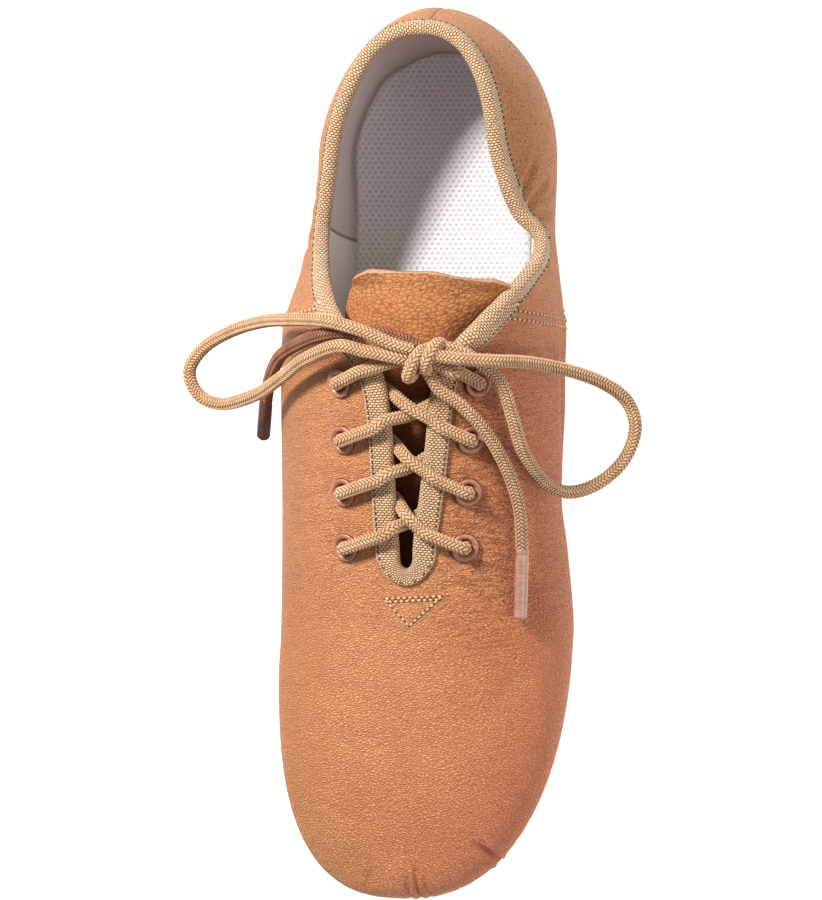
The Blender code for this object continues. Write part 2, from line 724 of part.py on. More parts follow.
def tube(name, points, radius, finish=None):
    """A round cord along a route, with closed ends."""
    data = bpy.data.curves.new(name, "CURVE")
    data.dimensions = "3D"
    data.bevel_depth = radius * MM
    data.bevel_resolution = 2
    data.use_fill_caps = True
    spline = data.splines.new("POLY")
    route = smooth_route(points) if len(points) > 2 else [Vector(point) for point in points]
    spline.points.add(len(route) - 1)
    for spot, point in zip(spline.points, route):
        spot.co = (*(point * MM), 1.0)
    return place(bpy.data.objects.new(name, data), finish)


def as_mesh(item, finish=None):
    """The same tube as a mesh with welded caps, so that it can be joined to another."""
    graph = bpy.context.evaluated_depsgraph_get()
    mesh = bpy.data.meshes.new_from_object(item.evaluated_get(graph))
    shape = bmesh.new()
    shape.from_mesh(mesh)
    bmesh.ops.remove_doubles(shape, verts=shape.verts, dist=0.00001)
    bmesh.ops.recalc_face_normals(shape, faces=shape.faces)
    shape.to_mesh(mesh)
    shape.free()
    mesh.materials.clear()
    name = item.name
    bpy.data.objects.remove(item)
    return place(bpy.data.objects.new(name, mesh), finish)


def crossing_bar(side, row):
    """The route of a strand from its eyelet over the binding to just past the middle of the throat."""
    along = row.along
    x = row.medial if side == MEDIAL else row.lateral
    eyelet, normal = surface_at(side, along, x)
    edge = edge_point(side, along - CROSS_LEAN)
    behind = along - 2 * CROSS_LEAN
    middle = (edge_point(MEDIAL, behind) + edge_point(LATERAL, behind)) / 2
    over_eyelet = GAP + EYELET_RIM + GAP + LACE_RADIUS + CROSS_LIFT
    over_tape = TAPE_GAP + TAPE + GAP + LACE_RADIUS + CROSS_LIFT
    up = Vector((0.0, 0.0, 1.0))
    shoulder, shoulder_normal = surface_at(side, along - CROSS_LEAN / 2, (x + edge.x) / 2)
    start = eyelet + normal * over_eyelet
    half = shoulder + shoulder_normal * over_tape
    sunk = CROSS_SINK if row is EYELETS[0] else 0.0
    tip = middle + up * (over_tape - sunk) + Vector((-side * CROSS_TIP, CROSS_LEAN / 2, 0.0))
    return [start, half, edge + up * over_tape, tip]


def make_crossings(braid):
    for i, row in enumerate(EYELETS, start=1):
        bars = []
        for side, word in ((MEDIAL, "medial"), (LATERAL, "lateral")):
            bars.append(tube(f"strand_{word}_{i}", crossing_bar(side, row), LACE_RADIUS))
        crossing = as_mesh(bars[0], braid)
        crossing.name = f"lace_cross_{i}"
        cut(crossing, as_mesh(bars[1]), "UNION")


def aglet(name, route, tip, finish):
    """A straight tip that starts just past the end of the lace."""
    last = Vector(route[-1])
    start = last + (Vector(tip) - last).normalized() * 2 * GAP
    tube(name, [start, tip], AGLET_RADIUS, finish)


def make_bow(braid, clear_plastic):
    shape = bmesh.new()
    bmesh.ops.create_uvsphere(shape, u_segments=KNOT_SEGMENTS, v_segments=KNOT_RINGS, radius=0.5)
    bmesh.ops.scale(shape, vec=KNOT_SIZE, verts=shape.verts)
    bmesh.ops.translate(shape, vec=KNOT_CENTRE, verts=shape.verts)
    mesh_object("lace_knot", shape, braid)
    tube("lace_loop_medial", LOOP_MEDIAL, LACE_RADIUS, braid)
    tube("lace_loop_lateral", LOOP_LATERAL, LACE_RADIUS, braid)
    tube("lace_end_medial", END_MEDIAL, LACE_RADIUS, braid)
    tube("lace_end_lateral", END_LATERAL, LACE_RADIUS, braid)
    aglet("aglet_medial", END_MEDIAL, AGLET_TIP_MEDIAL, clear_plastic)
    aglet("aglet_lateral", END_LATERAL, AGLET_TIP_LATERAL, clear_plastic)


def main():
    clear_scene()
    leather = material("caramel_leather", (0.52, 0.24, 0.11), 0.5)
    tongue_leather = material("tongue_leather", (0.42, 0.18, 0.08), 0.6)
    tape = material("woven_tape", (0.50, 0.33, 0.17), 0.85)
    braid = material("braided_lace", (0.52, 0.36, 0.20), 0.85)
    sock = material("white_sock", (0.78, 0.77, 0.77), 0.9)
    rubber = material("tan_rubber", (0.40, 0.20, 0.10), 0.7)
    foam = material("heel_foam", (0.36, 0.16, 0.08), 0.75)
    metal = material("painted_eyelet", (0.45, 0.22, 0.13), 0.35, 0.6)
    clear_plastic = material("aglet_plastic", (0.62, 0.44, 0.36), 0.25)
    make_upper(leather)
    make_binding(tape)
    make_tongue(tongue_leather)
    make_insole(sock)
    make_forefoot_sole(rubber)
    make_heel(foam)
    make_eyelets(metal)
    make_crossings(braid)
    make_bow(braid, clear_plastic)


main()
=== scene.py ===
# %% [markdown]
# # Dressing a dance shoe
# This lesson gives a plain model of a soft lace-up dance shoe its looks: grained leather with creases, a
# woven binding, a braided lace tied in a bow, metal eyelets, a dimpled sock and soles with a pyramid tread.
# The plain model is a frame that is never moved. Every new piece is made in millimetres, in the same place,
# and stands for one or more of the frame's nodes.

# %% Load the frame
import json
import math
from bisect import bisect_right
from collections import namedtuple
from functools import lru_cache

import bmesh
import bpy
from mathutils import Matrix, Vector
from mathutils.bvhtree import BVHTree

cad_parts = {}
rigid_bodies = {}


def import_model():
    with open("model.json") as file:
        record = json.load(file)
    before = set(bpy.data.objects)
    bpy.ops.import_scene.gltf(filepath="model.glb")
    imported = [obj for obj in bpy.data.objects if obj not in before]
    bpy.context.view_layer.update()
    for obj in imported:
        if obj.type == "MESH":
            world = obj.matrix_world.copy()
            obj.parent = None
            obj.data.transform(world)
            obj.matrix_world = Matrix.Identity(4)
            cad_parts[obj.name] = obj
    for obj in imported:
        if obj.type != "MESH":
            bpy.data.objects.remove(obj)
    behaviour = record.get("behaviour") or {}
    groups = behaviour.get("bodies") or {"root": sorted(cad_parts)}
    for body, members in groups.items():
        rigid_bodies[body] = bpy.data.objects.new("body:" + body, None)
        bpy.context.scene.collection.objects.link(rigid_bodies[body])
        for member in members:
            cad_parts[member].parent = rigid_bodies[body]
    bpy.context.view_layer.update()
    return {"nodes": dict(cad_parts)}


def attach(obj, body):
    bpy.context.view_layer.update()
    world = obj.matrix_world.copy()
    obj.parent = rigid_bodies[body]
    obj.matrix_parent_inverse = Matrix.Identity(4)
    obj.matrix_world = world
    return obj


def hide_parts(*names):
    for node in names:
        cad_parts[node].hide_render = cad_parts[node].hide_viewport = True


for item in list(bpy.data.objects):
    bpy.data.objects.remove(item, do_unlink=True)
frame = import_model()
MM = 0.001
print("frame has", len(frame["nodes"]), "nodes")

# %% [markdown]
# ## Camera and light
# The photograph looks almost straight down, with the camera leaning a little to the shoe's outer side. A long
# lens from far away keeps the outline true. The frame's width in millimetres follows from the photograph's
# scale, and the lens from that width. A small key light from behind the inner side draws the shadow into the
# heel, a wide fill light comes from the outer side, and a dim white surround lifts the rest.

# %% Camera
PHOTO_SIZE = (822, 900)
MM_PER_PIXEL = 0.2806
CAMERA_TILT = math.radians(10.0)
CAMERA_DISTANCE = 4000.0
CAMERA_AIM = Vector((-3.65, 1.0, 22.0))
SENSOR = 36.0
VIEW_END = 20.0

camera = bpy.data.objects.new("camera", bpy.data.cameras.new("camera"))
bpy.context.scene.collection.objects.link(camera)
camera.data.sensor_fit = "HORIZONTAL"
camera.data.sensor_width = SENSOR
camera.data.lens = SENSOR * CAMERA_DISTANCE / (PHOTO_SIZE[0] * MM_PER_PIXEL)
camera.data.clip_end = VIEW_END
back_along_view = Vector((math.sin(CAMERA_TILT), 0.0, math.cos(CAMERA_TILT)))
camera.location = (CAMERA_AIM + back_along_view * CAMERA_DISTANCE) * MM
camera.rotation_euler = (0.0, CAMERA_TILT, 0.0)
bpy.context.scene.camera = camera
print("lens", round(camera.data.lens), "mm")

# %% Lights
KEY_FROM = Vector((-0.38, 0.48, 0.84))
FILL_FROM = Vector((0.90, -0.30, 0.50))
KEY_POWER = 22.6
FILL_POWER = 9.6
SURROUND = 0.21
WHITE = (1.0, 1.0, 1.0, 1.0)

bpy.context.scene.view_settings.view_transform = "Standard"


def area_light(name, direction, distance, size, power):
    lamp = bpy.data.lights.new(name, "AREA")
    lamp.size = size
    lamp.energy = power
    holder = bpy.data.objects.new(name, lamp)
    bpy.context.scene.collection.objects.link(holder)
    holder.location = CAMERA_AIM * MM + direction.normalized() * distance
    holder.rotation_euler = (-direction).to_track_quat("-Z", "Y").to_euler()


area_light("key", KEY_FROM, distance=1.2, size=0.18, power=KEY_POWER)
area_light("fill", FILL_FROM, distance=1.4, size=1.2, power=FILL_POWER)
world = bpy.data.worlds.new("surround")
world.use_nodes = True
background = world.node_tree.nodes["Background"]
background.inputs["Strength"].default_value = SURROUND
background.inputs["Color"].default_value = WHITE
bpy.context.scene.world = world
print("key", KEY_POWER, "W and fill", FILL_POWER, "W")

# %% [markdown]
# ## Writing shader maths as sums
# A node tree is easier to read as an expression. The class below wraps one output socket: adding or
# multiplying two of them adds a Math node, and one method adds any other node from its type, its settings
# and its sockets.

# %% The socket class
class Wire:
    """An output socket of a material. Arithmetic with wires and numbers adds Math nodes."""

    def __init__(self, socket):
        self.socket = socket

    def add(self, kind, settings=None, sockets=None, output=0):
        """Any node: its settings are set first, then the values or links of its sockets."""
        tree = self.socket.id_data
        node = tree.nodes.new(kind)
        for key, value in (settings or {}).items():
            setattr(node, key, value)
        for key, value in (sockets or {}).items():
            if isinstance(value, Wire):
                tree.links.new(value.socket, node.inputs[key])
            else:
                node.inputs[key].default_value = value
        return Wire(node.outputs[output])

    def math(self, operation, *values):
        return self.add("ShaderNodeMath", {"operation": operation}, dict(enumerate(values)))

    def __add__(self, other):
        return self.math("ADD", self, other)

    __radd__ = __add__

    def __mul__(self, other):
        return self.math("MULTIPLY", self, other)

    __rmul__ = __mul__

    def __sub__(self, other):
        return self.math("SUBTRACT", self, other)

    def __rsub__(self, other):
        return self.math("SUBTRACT", other, self)

    def __truediv__(self, other):
        return self.math("DIVIDE", self, other)

    def __pow__(self, other):
        return self.math("POWER", self, other)

    def __mod__(self, other):
        return self.math("FLOORED_MODULO", self, other)

    def __lt__(self, other):
        return self.math("LESS_THAN", self, other)

    def __abs__(self):
        return self.math("ABSOLUTE", self)

    def floor(self):
        return self.math("FLOOR", self)

    def sin(self):
        return self.math("SINE", self)

    def larger(self, other):
        return self.math("MAXIMUM", self, other)

    def smaller(self, other):
        return self.math("MINIMUM", self, other)

    def ramp(self, low, high):
        """0 below low, 1 above high, smooth between."""
        settings = {"interpolation_type": "SMOOTHSTEP"}
        return self.add("ShaderNodeMapRange", settings, {0: self, 1: low, 2: high, 3: 0.0, 4: 1.0})

    def blend(self, first, second):
        """A colour between two, with this wire as the share of the second."""
        colours = [c if isinstance(c, Wire) else (*c, 1.0) for c in (first, second)]
        sockets = {0: self, 6: colours[0], 7: colours[1]}
        return self.add("ShaderNodeMix", {"data_type": "RGBA"}, sockets, output=2)


# %% Helpers for finishes
def new_finish(name, **constants):
    """A material with its shader's constant sockets set, and wires of its Object and UV coordinates."""
    made = bpy.data.materials.new(name)
    made.use_nodes = True
    shader = made.node_tree.nodes["Principled BSDF"]
    for socket, value in constants.items():
        shader.inputs[socket.replace("_", " ")].default_value = value
    made.diffuse_color = shader.inputs["Base Color"].default_value
    texture = made.node_tree.nodes.new("ShaderNodeTexCoord")
    return made, shader, Wire(texture.outputs["Object"]), Wire(texture.outputs["UV"])


def connect(shader, **wires):
    for socket, wire in wires.items():
        wire.socket.id_data.links.new(wire.socket, shader.inputs[socket.replace("_", " ")])


def axes(wire):
    split = wire.add("ShaderNodeSeparateXYZ", sockets={0: wire}).socket.node
    return [Wire(output) for output in split.outputs]


def noise(place, per_mm, detail=2.0, roughness=0.5, distortion=0.0):
    sockets = {
        "Vector": place, "Scale": per_mm / MM, "Detail": detail,
        "Roughness": roughness, "Distortion": distortion,
    }
    return place.add("ShaderNodeTexNoise", sockets=sockets)


def stretched(place, turn, scale):
    """Coordinates turned about Z and scaled, for a pattern that runs one way."""
    sockets = {"Vector": place, "Rotation": (0.0, 0.0, turn), "Scale": scale}
    return place.add("ShaderNodeMapping", {"vector_type": "TEXTURE"}, sockets)


def bump(height, depth_mm, strength):
    sockets = {"Height": height, "Distance": depth_mm * MM, "Strength": strength}
    return height.add("ShaderNodeBump", sockets=sockets)


def zone(axis, low, high):
    """0 below one place on an axis and 1 above another, both in millimetres."""
    return axis.ramp(low * MM, high * MM)


# %% [markdown]
# ## Floor
# The shoe stands on plain pale paper. Paper that only reflects would turn grey away from the lamps, so this
# sheet also glows a little by itself. It is stage and not a part of the shoe.

# %% Floor
FLOOR_HALF = 3.0
FLOOR_GLOW = 0.85
FLOOR_GREY, FLOOR_GREY_LIGHT = (0.44, 0.44, 0.44), (0.46, 0.46, 0.46)

floor_paint, floor_shader, floor_place, _ = new_finish(
    "pale_floor", Roughness=0.7, Emission_Color=WHITE, Emission_Strength=FLOOR_GLOW
)
speckle = noise(floor_place, 0.02, 3.0)
connect(floor_shader, Base_Color=speckle.ramp(0.3, 0.7).blend(FLOOR_GREY, FLOOR_GREY_LIGHT))
sheet = bmesh.new()
bmesh.ops.create_grid(sheet, x_segments=1, y_segments=1, size=FLOOR_HALF)
floor_mesh = bpy.data.meshes.new("floor")
sheet.to_mesh(floor_mesh)
sheet.free()
floor_mesh.materials.append(floor_paint)
floor = bpy.data.objects.new("floor", floor_mesh)
bpy.context.scene.collection.objects.link(floor)
print("floor is", 2 * FLOOR_HALF, "m wide")

# %% [markdown]
# ## The last
# A shoe is made over a last, and every piece of the upper follows it. The tables give the last in
# millimetres: the widest line, the line of the bottom, and the edge of the leather. Between rows a smooth
# curve runs that never overshoots, and a section joins bottom, widest line and edge.

# %% Tables of the last
MEDIAL, LATERAL = -1, 1
SIDES = (MEDIAL, LATERAL)
LENGTH = 250.0
WALL = 1.6
GAP = 0.3
SOLE_THICKNESS = 3.2
HEEL_HEIGHT = 12.3
LACE_OUTER = 1.92

Section = namedtuple("Section", "along medial lateral widest square")
LAST = [
    Section(0, -27.2, 38.6, 27.0, 2.7),
    Section(45, -28.4, 38.4, 26.5, 2.7),
    Section(62, -30.8, 37.8, 25.8, 2.6),
    Section(74, -33.8, 38.9, 25.2, 2.5),
    Section(88, -38.0, 40.2, 24.5, 2.4),
    Section(110, -39.6, 40.0, 23.4, 2.5),
    Section(138, -39.9, 38.8, 21.6, 2.8),
    Section(152, -40.2, 40.2, 20.6, 3.0),
    Section(175, -40.9, 41.8, 19.4, 3.0),
    Section(190, -41.8, 41.8, 18.8, 2.9),
    Section(220, -41.8, 41.8, 17.8, 2.6),
    Section(250, -41.8, 41.8, 16.5, 2.2),
]
HEEL_TIP_X, HEEL_REACH = 4.2, 42.0
HEEL_POWER = {MEDIAL: 1.75, LATERAL: 1.95}
TOE_TIP_X = -5.5
TOE_REACH = {MEDIAL: 60.0, LATERAL: 84.0}
TOE_POWER = {MEDIAL: 2.7, LATERAL: 2.25}

Spine = namedtuple("Spine", "along x height")
SPINE = [
    Spine(30, 4.2, HEEL_HEIGHT + GAP),
    Spine(62, 2.6, HEEL_HEIGHT + GAP),
    Spine(80, 1.0, HEEL_HEIGHT + 1.0),
    Spine(97, 0.2, 11.4),
    Spine(116, 0.0, 7.6),
    Spine(133, 0.0, 4.8),
    Spine(148, 0.0, SOLE_THICKNESS + GAP),
    Spine(200, -1.6, SOLE_THICKNESS + GAP),
    Spine(215, -3.2, 4.6),
]

Edge = namedtuple("Edge", "along medial lateral medial_height lateral_height crown")
TOPLINE = [
    Edge(6, -16.0, 27.0, 63.5, 63.5, 0.30),
    Edge(17, -16.6, 26.8, 63.0, 63.0, 0.30),
    Edge(35, -19.6, 26.6, 59.4, 59.4, 0.30),
    Edge(51, -22.6, 29.6, 54.4, 53.6, 0.32),
    Edge(58, -23.8, 32.4, 52.4, 50.0, 0.34),
    Edge(62, -24.3, 36.4, 51.7, 48.4, 0.36),
    Edge(66, -24.3, 38.6, 52.4, 49.4, 0.38),
    Edge(71, -23.7, 38.4, 54.8, 53.2, 0.42),
    Edge(76, -22.6, 35.6, 58.6, 58.2, 0.48),
    Edge(82, -19.9, 31.0, 64.4, 64.4, 0.56),
    Edge(88, -16.0, 25.6, 70.0, 70.0, 0.66),
    Edge(94, -10.6, 20.0, 73.4, 73.4, 0.76),
    Edge(101, -5.2, 14.0, 72.8, 72.8, 0.88),
    Edge(110, -3.0, 11.0, 70.0, 70.0, 1.0),
    Edge(123, -2.4, 8.9, 65.2, 65.2, 1.0),
    Edge(136, -2.5, 6.6, 60.6, 60.6, 1.0),
    Edge(150, -2.3, 3.9, 55.9, 55.9, 1.0),
    Edge(158, -2.2, 3.0, 53.4, 53.4, 1.0),
    Edge(175, 0.2, 0.2, 48.6, 48.6, 1.0),
    Edge(190, -0.4, -0.4, 44.2, 44.2, 1.0),
    Edge(205, -1.4, -1.4, 40.2, 40.2, 1.0),
    Edge(220, -3.0, -3.0, 35.8, 35.8, 1.0),
    Edge(230, -4.4, -4.4, 32.0, 32.0, 1.0),
    Edge(237, -5.5, -5.5, 28.6, 28.6, 1.0),
]
COLLAR_SET_IN, COLLAR_TIP_X, COLLAR_REACH, COLLAR_POWER = 6.0, 6.5, 35.0, 2.3
THROAT_TOP, THROAT_BLEND, THROAT_END, THROAT_ROUND = 94.0, 16.0, 158.0, 4.0
TOE_SET_BACK, TOE_BLEND = 13.0, 195.0
HANDLE = 0.55
SLOPE_STEP = 0.5
NORMAL_STEP = 0.02
SEARCHES = 30
print(len(LAST), "sections and", len(TOPLINE), "points of the edge")


# %% Curves through the tables
class Curve:
    """A smooth curve through one column of a table, which doesn't overshoot between its rows."""

    def __init__(self, rows, column):
        self.at = [row.along for row in rows]
        self.value = [getattr(row, column) for row in rows]
        pairs = zip(zip(self.at, self.value), zip(self.at[1:], self.value[1:]))
        steps = [(y1 - y0) / (x1 - x0) for (x0, y0), (x1, y1) in pairs]
        self.slope = [steps[0]]
        for before, after in zip(steps, steps[1:]):
            same_way = before * after > 0
            self.slope.append(2 * before * after / (before + after) if same_way else 0.0)
        self.slope.append(steps[-1])

    def __call__(self, along):
        along = min(max(along, self.at[0]), self.at[-1])
        i = min(bisect_right(self.at, along), len(self.at) - 1) - 1
        width = self.at[i + 1] - self.at[i]
        t = (along - self.at[i]) / width
        start = self.value[i] * (1 + 2 * t) + self.slope[i] * width * t
        end = self.value[i + 1] * (3 - 2 * t) - self.slope[i + 1] * width * (1 - t)
        return start * (1 - t) ** 2 + end * t**2


WIDEST_X = {MEDIAL: Curve(LAST, "medial"), LATERAL: Curve(LAST, "lateral")}
WIDEST_Z = Curve(LAST, "widest")
SQUARE = Curve(LAST, "square")
SPINE_X = Curve(SPINE, "x")
SPINE_Z = Curve(SPINE, "height")
EDGE_X = {MEDIAL: Curve(TOPLINE, "medial"), LATERAL: Curve(TOPLINE, "lateral")}
EDGE_Z = {MEDIAL: Curve(TOPLINE, "medial_height"), LATERAL: Curve(TOPLINE, "lateral_height")}
CROWN = Curve(TOPLINE, "crown")


# %% Sections of the last
def y_of(along):
    """Y of a place along the shoe from the heel, and the other way round."""
    return LENGTH / 2 - along


def smooth_step(low, high, value):
    t = min(1.0, max(0.0, (value - low) / (high - low)))
    return t * t * (3 - 2 * t)


def rounded(distance, reach, power):
    """Share of the full width at a distance from a rounded end: 0 at its tip, 1 past its reach."""
    left = min(1.0, max(0.0, 1.0 - distance / reach))
    return (1.0 - left**power) ** (1.0 / power)


@lru_cache(maxsize=None)
def widest_point(side, along):
    x = WIDEST_X[side](along)
    x = HEEL_TIP_X + (x - HEEL_TIP_X) * rounded(along, HEEL_REACH, HEEL_POWER[side])
    x = TOE_TIP_X + (x - TOE_TIP_X) * rounded(LENGTH - along, TOE_REACH[side], TOE_POWER[side])
    return Vector((x, y_of(along), WIDEST_Z(along)))


@lru_cache(maxsize=None)
def spine_point(along):
    """The bottom centre of a section; near heel and toe the sections fan out from the spine's ends."""
    start, end = SPINE[0].along, SPINE[-1].along
    here = start + (end - start) * along / LENGTH
    return Vector((SPINE_X(here), y_of(here), SPINE_Z(here)))


def top_along(along):
    """Where a section meets the edge or ridge: the collar lies inside the heel, the ridge behind the toe."""
    heel = max(0.0, 1.0 - along / HEEL_REACH)
    toe = max(0.0, (along - TOE_BLEND) / (LENGTH - TOE_BLEND))
    return along + COLLAR_SET_IN * heel**2 - TOE_SET_BACK * toe**2


def ridge_x(here):
    return (EDGE_X[MEDIAL](here) + EDGE_X[LATERAL](here)) / 2


@lru_cache(maxsize=None)
def aim_point(side, along):
    """Where a section's curve is drawn to: the collar's edge, and past the top of the throat the ridge."""
    here = top_along(along)
    x = EDGE_X[side](here)
    x = COLLAR_TIP_X + (x - COLLAR_TIP_X) * rounded(here - COLLAR_SET_IN, COLLAR_REACH, COLLAR_POWER)
    x += (ridge_x(here) - x) * smooth_step(THROAT_TOP, THROAT_TOP + THROAT_BLEND, here)
    return Vector((x, y_of(here), EDGE_Z[side](here)))


@lru_cache(maxsize=None)
def climb_at(side, along):
    """Crown of a section and how steeply it still climbs where it ends."""
    here = top_along(along)
    crown = CROWN(here)
    slope = 0.0
    if along >= TOE_BLEND:
        rise = EDGE_Z[MEDIAL](here - SLOPE_STEP) - EDGE_Z[MEDIAL](here + SLOPE_STEP)
        slope = rise / (2 * SLOPE_STEP)
    across = aim_point(side, along) - widest_point(side, along)
    return crown, 1.0 - crown + crown * slope * across.y / across.z


def bezier(start, first, second, end, t):
    left = 1.0 - t
    return start * left**3 + 3 * first * t * left**2 + 3 * second * t**2 * left + end * t**3


def high_point(side, along, t):
    """A point of a section above the widest line, at t from 0 there to 1 where the section is drawn to."""
    widest = widest_point(side, along)
    across = aim_point(side, along) - widest
    crown, climb = climb_at(side, along)
    inwards = bezier(0.0, 0.0, 1.0 - HANDLE * crown, 1.0, t)
    up = bezier(0.0, HANDLE, 1.0 - HANDLE * climb, 1.0, t)
    return widest + Vector((across.x * inwards, across.y * inwards, across.z * up))


@lru_cache(maxsize=None)
def edge_at(side, along):
    """The t of a section's edge: 1, or less where the throat's slit cuts the section short."""
    here = top_along(along)
    if not THROAT_TOP < here < THROAT_END:
        return 1.0
    middle = ridge_x(here)
    slit = middle + (EDGE_X[side](here) - middle) * rounded(THROAT_END - here, THROAT_ROUND, 2.0)
    low, high = 0.0, 1.0
    for _ in range(SEARCHES):
        t = (low + high) / 2
        if (high_point(side, along, t).x - slit) * side > 0:
            low = t
        else:
            high = t
    return t


def section_point(side, along, share):
    """A point of the outer surface: share 0 is the bottom centre, 1 the widest line, 2 the edge or ridge."""
    if share <= 1.0:
        bottom = spine_point(along)
        across = widest_point(side, along) - bottom
        square = SQUARE(along)
        angle = share * math.pi / 2
        out = math.sin(angle) ** (2 / square)
        up = 1.0 - max(0.0, math.cos(angle)) ** (2 / square)
        return bottom + Vector((across.x * out, across.y * out, across.z * up))
    return high_point(side, along, (share - 1.0) * edge_at(side, along))


def edge_point(side, along):
    return section_point(side, along, 2.0)


def surface_at(side, along, x):
    """The point of a section's upper half at a given x, and the surface's normal there."""
    low, high = 1.0, 2.0
    for _ in range(SEARCHES):
        share = (low + high) / 2
        if (section_point(side, along, share).x - x) * side > 0:
            low = share
        else:
            high = share
    ahead, behind = (section_point(side, along + step, share) for step in (1.0, -1.0))
    above, below = (section_point(side, along, share + step) for step in (NORMAL_STEP, -NORMAL_STEP))
    normal = side * (above - below).cross(ahead - behind).normalized()
    return section_point(side, along, share), normal


# %% [markdown]
# ## From a grid to a surface
# Most soft pieces here are sheets. A sheet starts as a flat grid, whose points are then moved to where a
# function of two shares puts them; the same shares become the sheet's UV map. The stations along the shoe
# are evenly spaced on its outline and closer at the toe, where the pleats are.

# %% Sheets and pieces
STATION_SPACING = 1.02
COARSE_SPACING = 2.2
TOE_CLOSER, CLOSER_FROM, CLOSEST_FROM = 0.9, 205, 228
FINE_SAMPLES = 1500


def stations(spacing):
    """Places along the shoe, evenly spaced on the outline and closer round the toe."""
    fine = [LENGTH * (1 - math.cos(math.pi * i / FINE_SAMPLES)) / 2 for i in range(FINE_SAMPLES + 1)]
    way = [0.0]
    for a, b in zip(fine, fine[1:]):
        step = max((widest_point(s, b) - widest_point(s, a)).length for s in SIDES)
        way.append(way[-1] + step * (1 + TOE_CLOSER * smooth_step(CLOSER_FROM, CLOSEST_FROM, a)))
    count = round(way[-1] / spacing)
    found = []
    for i in range(count + 1):
        k = min(max(1, bisect_right(way, way[-1] * i / count)), FINE_SAMPLES)
        share = (way[-1] * i / count - way[k - 1]) / (way[k] - way[k - 1])
        found.append(fine[k - 1] + (fine[k] - fine[k - 1]) * min(1.0, share))
    nearest = min(range(count), key=lambda i: abs(found[i] - THROAT_END))
    found[nearest] = THROAT_END
    return found


def grid_sheet(shape, columns, rows, place, uv_of=None):
    """Adds a grid to a bmesh and moves its points: place(i, j) is the point of column i and row j."""
    layer = shape.loops.layers.uv.verify()
    made = bmesh.ops.create_grid(shape, x_segments=columns - 1, y_segments=rows - 1, size=1.0)["verts"]
    index = {}
    for vertex in made:
        i = round((vertex.co.x + 1) / 2 * (columns - 1))
        j = round((vertex.co.y + 1) / 2 * (rows - 1))
        index[vertex] = (i, j)
        vertex.co = place(i, j)
    if uv_of:
        for face in {face for vertex in made for face in vertex.link_faces}:
            for loop in face.loops:
                loop[layer].uv = uv_of(*index[loop.vert])
    return made


def loft(places, shares, reach=None):
    """A surface through the sections of both sides, welded where they meet, its faces turned outwards."""
    shape = bmesh.new()
    for side in SIDES:
        wide = [reach[side](along) if reach else 1.0 for along in places]
        grid_sheet(
            shape, len(places), len(shares),
            lambda i, j: section_point(side, places[i], shares[j] * wide[i]),
        )
    bmesh.ops.remove_doubles(shape, verts=shape.verts, dist=0.01)
    bmesh.ops.dissolve_degenerate(shape, edges=shape.edges, dist=0.01)
    bmesh.ops.recalc_face_normals(shape, faces=shape.faces)
    shape.normal_update()
    lowest = min(shape.verts, key=lambda vertex: vertex.co.z)
    if lowest.normal.z > 0:
        bmesh.ops.reverse_faces(shape, faces=shape.faces)
        shape.normal_update()
    return shape


def swell(shape, distance):
    """Move every point outwards along its normal."""
    for vertex in shape.verts:
        vertex.co += vertex.normal * distance


def piece(name, shape, finishes, slot, *nodes):
    """Turns a bmesh in millimetres into a finished piece that stands for some nodes of the frame."""
    bmesh.ops.scale(shape, vec=(MM, MM, MM), verts=shape.verts)
    mesh = bpy.data.meshes.new(name)
    shape.to_mesh(mesh)
    shape.free()
    mesh.shade_smooth()
    for finish in finishes:
        mesh.materials.append(finish)
    made = bpy.data.objects.new(name, mesh)
    bpy.context.scene.collection.objects.link(made)
    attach(made, "root")
    if nodes:
        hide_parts(*nodes)
    print(name, len(mesh.polygons), "faces")
    return made


def thicken(made, thickness, inner=0, rim=0):
    """A wall on the inner side of an open sheet; the inner side and the rim may have other materials."""
    wall = made.modifiers.new("wall", "SOLIDIFY")
    wall.thickness = thickness * MM
    wall.offset = -1.0
    wall.use_even_offset = True
    wall.use_quality_normals = True
    wall.material_offset = inner
    wall.material_offset_rim = rim
    return made


STATIONS = stations(STATION_SPACING)
print(len(STATIONS), "stations")

# %% [markdown]
# ## The lace
# The lace is a round braid. Yarns wind round it both ways, and each goes over two others and then under two,
# which gives columns of short slanted floats, leaning left and right by turns. A pattern on a plain tube
# would look flat along the lace's outline. So a formula gives the braid's height at any place along and
# around, the mesh is a grid rolled up round the route with that height in its radius, and the finish uses
# the formula once more to paint the spaces between the floats dark, a painted shade.

# %% Braid formula
YARNS = 8
YARN_STEP = 1.12
BRAID_RELIEF = 0.42
RIDGE_POWER = 0.6
FLOAT_END, FLOAT_RISE = 0.55, 0.45


def braid_height(along, around):
    """Height from 0 in a gap to 1 on top of a float; along is in millimetres, around goes from 0 to 1."""
    first = around * YARNS + along / YARN_STEP
    second = around * YARNS - along / YARN_STEP
    if (math.floor(first) + math.floor(second)) % 4 < 2:
        across = first % 1
        lengthwise = (second + math.floor(first)) % 4 / 2
    else:
        across = second % 1
        lengthwise = ((first + math.floor(second)) % 4 - 2) / 2
    ridge = max(0.0, math.sin(math.pi * across)) ** RIDGE_POWER
    return ridge * (FLOAT_END + FLOAT_RISE * max(0.0, math.sin(math.pi * lengthwise)))


print("a yarn winds once round in", round(YARNS * YARN_STEP, 2), "mm")
